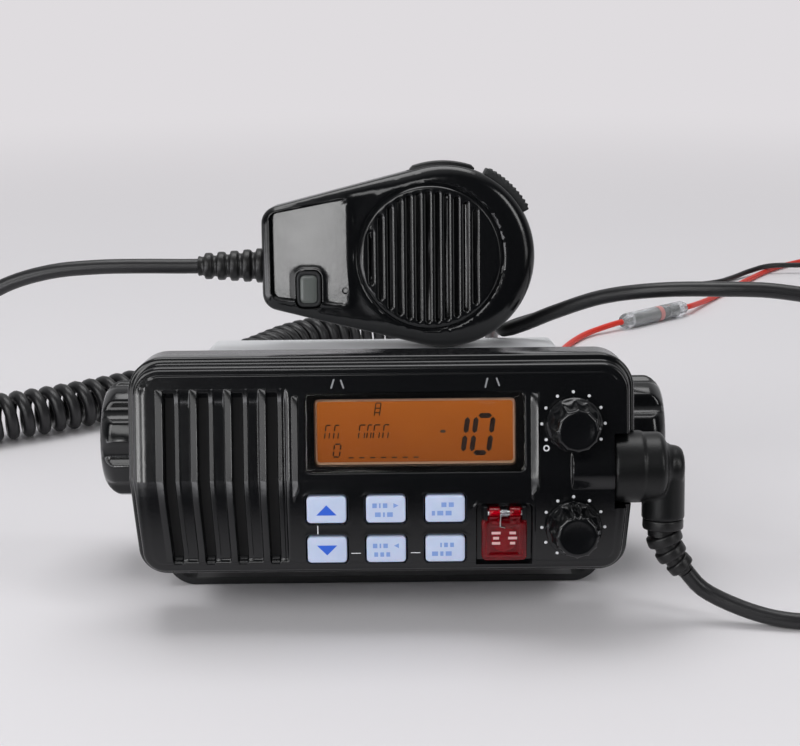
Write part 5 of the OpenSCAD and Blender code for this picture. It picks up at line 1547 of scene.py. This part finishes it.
def hollow_spun(outer, inner, *ring_values):
    """A turned tube: its outer profile one way and its inner profile back."""
    return loft_round(turned_rings(outer + inner[::-1], *ring_values))


barrel = make_piece("fuse_barrel", *hollow_spun(
    [(1.7, 0), (2.6, 0.15), (3.3, 0.8), (4.0, 2.4), (4.2, 3.2), (4.2, 26.5), (3.9, 26.9), (3.9, 30.2), (4.2, 30.6),
     (4.2, FUSE_LEN - 3.4), (4.0, FUSE_LEN - 2.6), (3.2, FUSE_LEN - 0.8), (1.7, FUSE_LEN)],
    [(1.6, 0.1), (1.6, 6.4), (3.2, 7), (3.2, FUSE_LEN - 7), (1.6, FUSE_LEN - 6.4), (1.6, FUSE_LEN - 0.1)],
    fuse_from, fuse_way, 40
), frosted, "radio")
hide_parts("fuse_holder")

fuse_profiles = (
    [(1.6, 7.1), (3.0, 7.2), (3.1, 7.5), (3.1, 13.4), (2.9, 13.7), (2.4, 13.8)],
    [(2.3, 13.6), (2.45, 13.9), (2.45, FUSE_LEN - 14), (2.3, FUSE_LEN - 13.7)],
    [(2.4, FUSE_LEN - 13.8), (2.9, FUSE_LEN - 13.7), (3.1, FUSE_LEN - 13.4), (3.1, FUSE_LEN - 7.5),
     (3.0, FUSE_LEN - 7.2), (1.6, FUSE_LEN - 7.1)],
)
fuse_parts = [spun(profile, fuse_from, fuse_way, 24) for profile in fuse_profiles]
fuse_piece = make_piece("fuse_link", *joined(fuse_parts), tinned, "radio")
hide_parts("fuse")
# Moulded ABS: a faded pink.
collar = plastic("moulded_abs_pink", "#c98f8c", 0.4, grain_mm=1.0, grain_depth=0.05)
make_piece("fuse_collar", *hollow_spun(
    [(4.0, 27.0), (4.19, 27.2), (4.19, 29.9), (4.0, 30.1)], [(3.8, 27.0), (3.8, 30.1)], fuse_from, fuse_way, 40
), collar, "radio")


# --- Back fittings ------------------------------------------------------------
# A nickel-plated aerial socket on a square flange, and a rubber grommet where
# the two power leads come out of the casting.

SOCKET_X, SOCKET_Z = -38, 4
socket_profile = [(7.2, -2), (7.3, 2.4), (7.9, 2.6), (7.9, 3.6)]
for k in range(7):
    socket_profile += [(7.9, 3.8 + k), (7.4, 4.2 + k), (7.4, 4.4 + k)]
socket_profile += [(7.9, 10.9), (7.9, 12.6), (7.4, 13.1), (6.6, 13.4), (6.6, 13.4)]
thread = hollow_spun(
    socket_profile[1:-1] + [(7.0, 14)], [(7.2, 2.2), (5.9, 2.4), (5.9, 13.8), (6.4, 14)],
    placed(SOCKET_X, 28, SOCKET_Z), turned(0, 1, 0), 48
)
insulator = spun(
    [(5.8, 2.5), (5.8, 9.5), (5.2, 9.8), (2.6, 9.8), (2.3, 9.4)],
    placed(SOCKET_X, 28, SOCKET_Z), turned(0, 1, 0), 32
)
flange_loops = []
for inset, y in ((0.3, 28.02), (0, 28.25), (0, 29.7), (0.3, 30)):
    flange_loops.append([placed(SOCKET_X + x, y, SOCKET_Z + z) for x, z in round_loop(24, 24, 2.2, inset)])
flange = loft(flange_loops)
socket = make_piece("aerial_socket_body", *joined([thread, flange]), nickel, "radio", smooth=35)
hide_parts("antenna_socket")
# Turned PTFE: waxy white.
ptfe = plastic("turned_ptfe_white", "#dedfdd", 0.45, grain_mm=1.0, grain_depth=0.08)
make_piece("aerial_socket_insulator", *insulator, ptfe, "radio")

grommet = make_piece("lead_grommet_collar", *spun([
    (4.9, 0), (6.4, 0.1), (6.6, 0.5), (6.6, 1.7), (6.3, 2.2), (5.2, 2.6), (5.0, 3.2), (4.95, 6.4), (4.7, 7.2),
    (4.5, 7.8), (4.2, 8),
], placed(44, 28, -8), turned(0, 1, 0), 40), boot_pvc, "radio")
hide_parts("power_grommet")


# --- Case, bracket and inner parts --------------------------------------------
# Parts kept from the solid model: their finishes, and small eased edges. The
# bracket is folded sheet steel, the chassis a painted aluminium casting.

def coated(name, colour, roughness, peel_mm, peel_depth):
    """Paint on metal: even colour, an orange-peel surface and slight soiling."""
    material, tree = empty_material(name)
    soil = noise(tree, 18, 4.0)
    base = linear(colour)
    worn = [c * 0.86 for c in base[:3]] + [1]
    dull = spread(tree, soil, roughness * 0.8, roughness * 1.2)
    peel = bumps(tree, noise(tree, peel_mm, 1.0), peel_depth, 0.0001)
    principled(tree, Base_Color=two_tone(tree, soil, base, worn), Roughness=dull, Normal=peel)
    return material


# Powder coat: satin black with a fine texture. Casting paint: pale grey gloss
# enamel. Zinc plate: bluish grey. Tin plate: brighter. Solder mask: dark green
# with a slight sheen. Fibre, seal rubber and cone paper: matt. Guide: milky.
powder_black = coated("powder_coated_steel_black", "#141517", 0.42, 0.8, 0.25)
enamel_grey = coated("enamelled_casting_grey", "#e4e5e8", 0.34, 2.2, 0.08)
zinc = metal("zinc_plated_steel", "#a9adb3", 0.28, 0.46, 1.5)
tin_plate = metal("tin_plated_sheet", "#c2c4c5", 0.2, 0.4, 6)
solder_mask = coated("solder_mask_green", "#0f3b22", 0.35, 1.2, 0.2)
washer_fibre = plastic("vulcanised_fibre_black", "#18181a", 0.7, grain_mm=0.8, grain_depth=0.3)
seal_rubber = plastic("silicone_seal_grey", "#3a3b3d", 0.6, grain_mm=1.0, grain_depth=0.2)
cone_paper = plastic("pulp_cone_black", "#1b1a19", 0.85, grain_mm=0.7, grain_depth=0.5)
light_guide = plastic("frosted_acrylic_guide", "#e8e6e2", 0.5, grain_mm=0.9, grain_depth=0.2)

# Woven cloth behind the louvres: matt black, in soft waves both ways. A wave is
# a tenth of pi over its scale long, which makes 5 mm.
weave_cloth, tree = empty_material("woven_polyester_black")
where = add_node(tree, "ShaderNodeTexCoord").outputs["Object"]
WEAVE_SCALE = 62.5
threads = [
    add_node(tree, "ShaderNodeTexWave", {"bands_direction": way}, Vector=where, Scale=WEAVE_SCALE).outputs["Fac"]
    for way in "XZ"
]
weave = bumps(tree, maths(tree, "MULTIPLY", *threads), 0.5, 0.0002)
principled(tree, Base_Color=linear("#121213"), Roughness=0.9, Normal=weave, Sheen_Weight=0.2)

FINISHES = [
    (powder_black, 0.35, ["mounting_bracket"]),
    (washer_fibre, 0.2, ["pivot_washers"]),
    (zinc, 0.2, [
        "clamp_bolt_left", "clamp_bolt_right", "volume_shaft", "squelch_shaft",
        "cover_screws", "panel_screws", "mic_screws",
    ]),
    (enamel_grey, 0.4, ["chassis", "top_cover", "bottom_cover"]),
    (seal_rubber, 0.15, ["front_gasket"]),
    (tin_plate, 0.15, ["shield_can", "volume_pot", "squelch_pot", "speaker_frame", "mic_capsule", "mic_socket"]),
    (solder_mask, 0.1, ["main_board", "front_board", "mic_board"]),
    (cone_paper, 0.1, ["speaker_cone"]),
    (light_guide, 0.15, ["backlight"]),
    (grip_rubber, 0.2, ["keypad_mat"]),
    (weave_cloth, 0.0, ["speaker_cloth"]),
]
for name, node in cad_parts.items():
    finish, ease_mm = next(((row[0], row[1]) for row in FINISHES if name in row[2]), (zinc, 0.12))
    if node.hide_render:
        continue
    for slot in node.material_slots:
        slot.material = finish
    if ease_mm:
        join = node.modifiers.new("join", "WELD")
        join.merge_threshold = 1e-5
        edge = node.modifiers.new("eased_edges", "BEVEL")
        edge.width, edge.segments, edge.limit_method, edge.angle_limit = ease_mm * MM, 2, "ANGLE", math.radians(35)
        edge.use_clamp_overlap = True
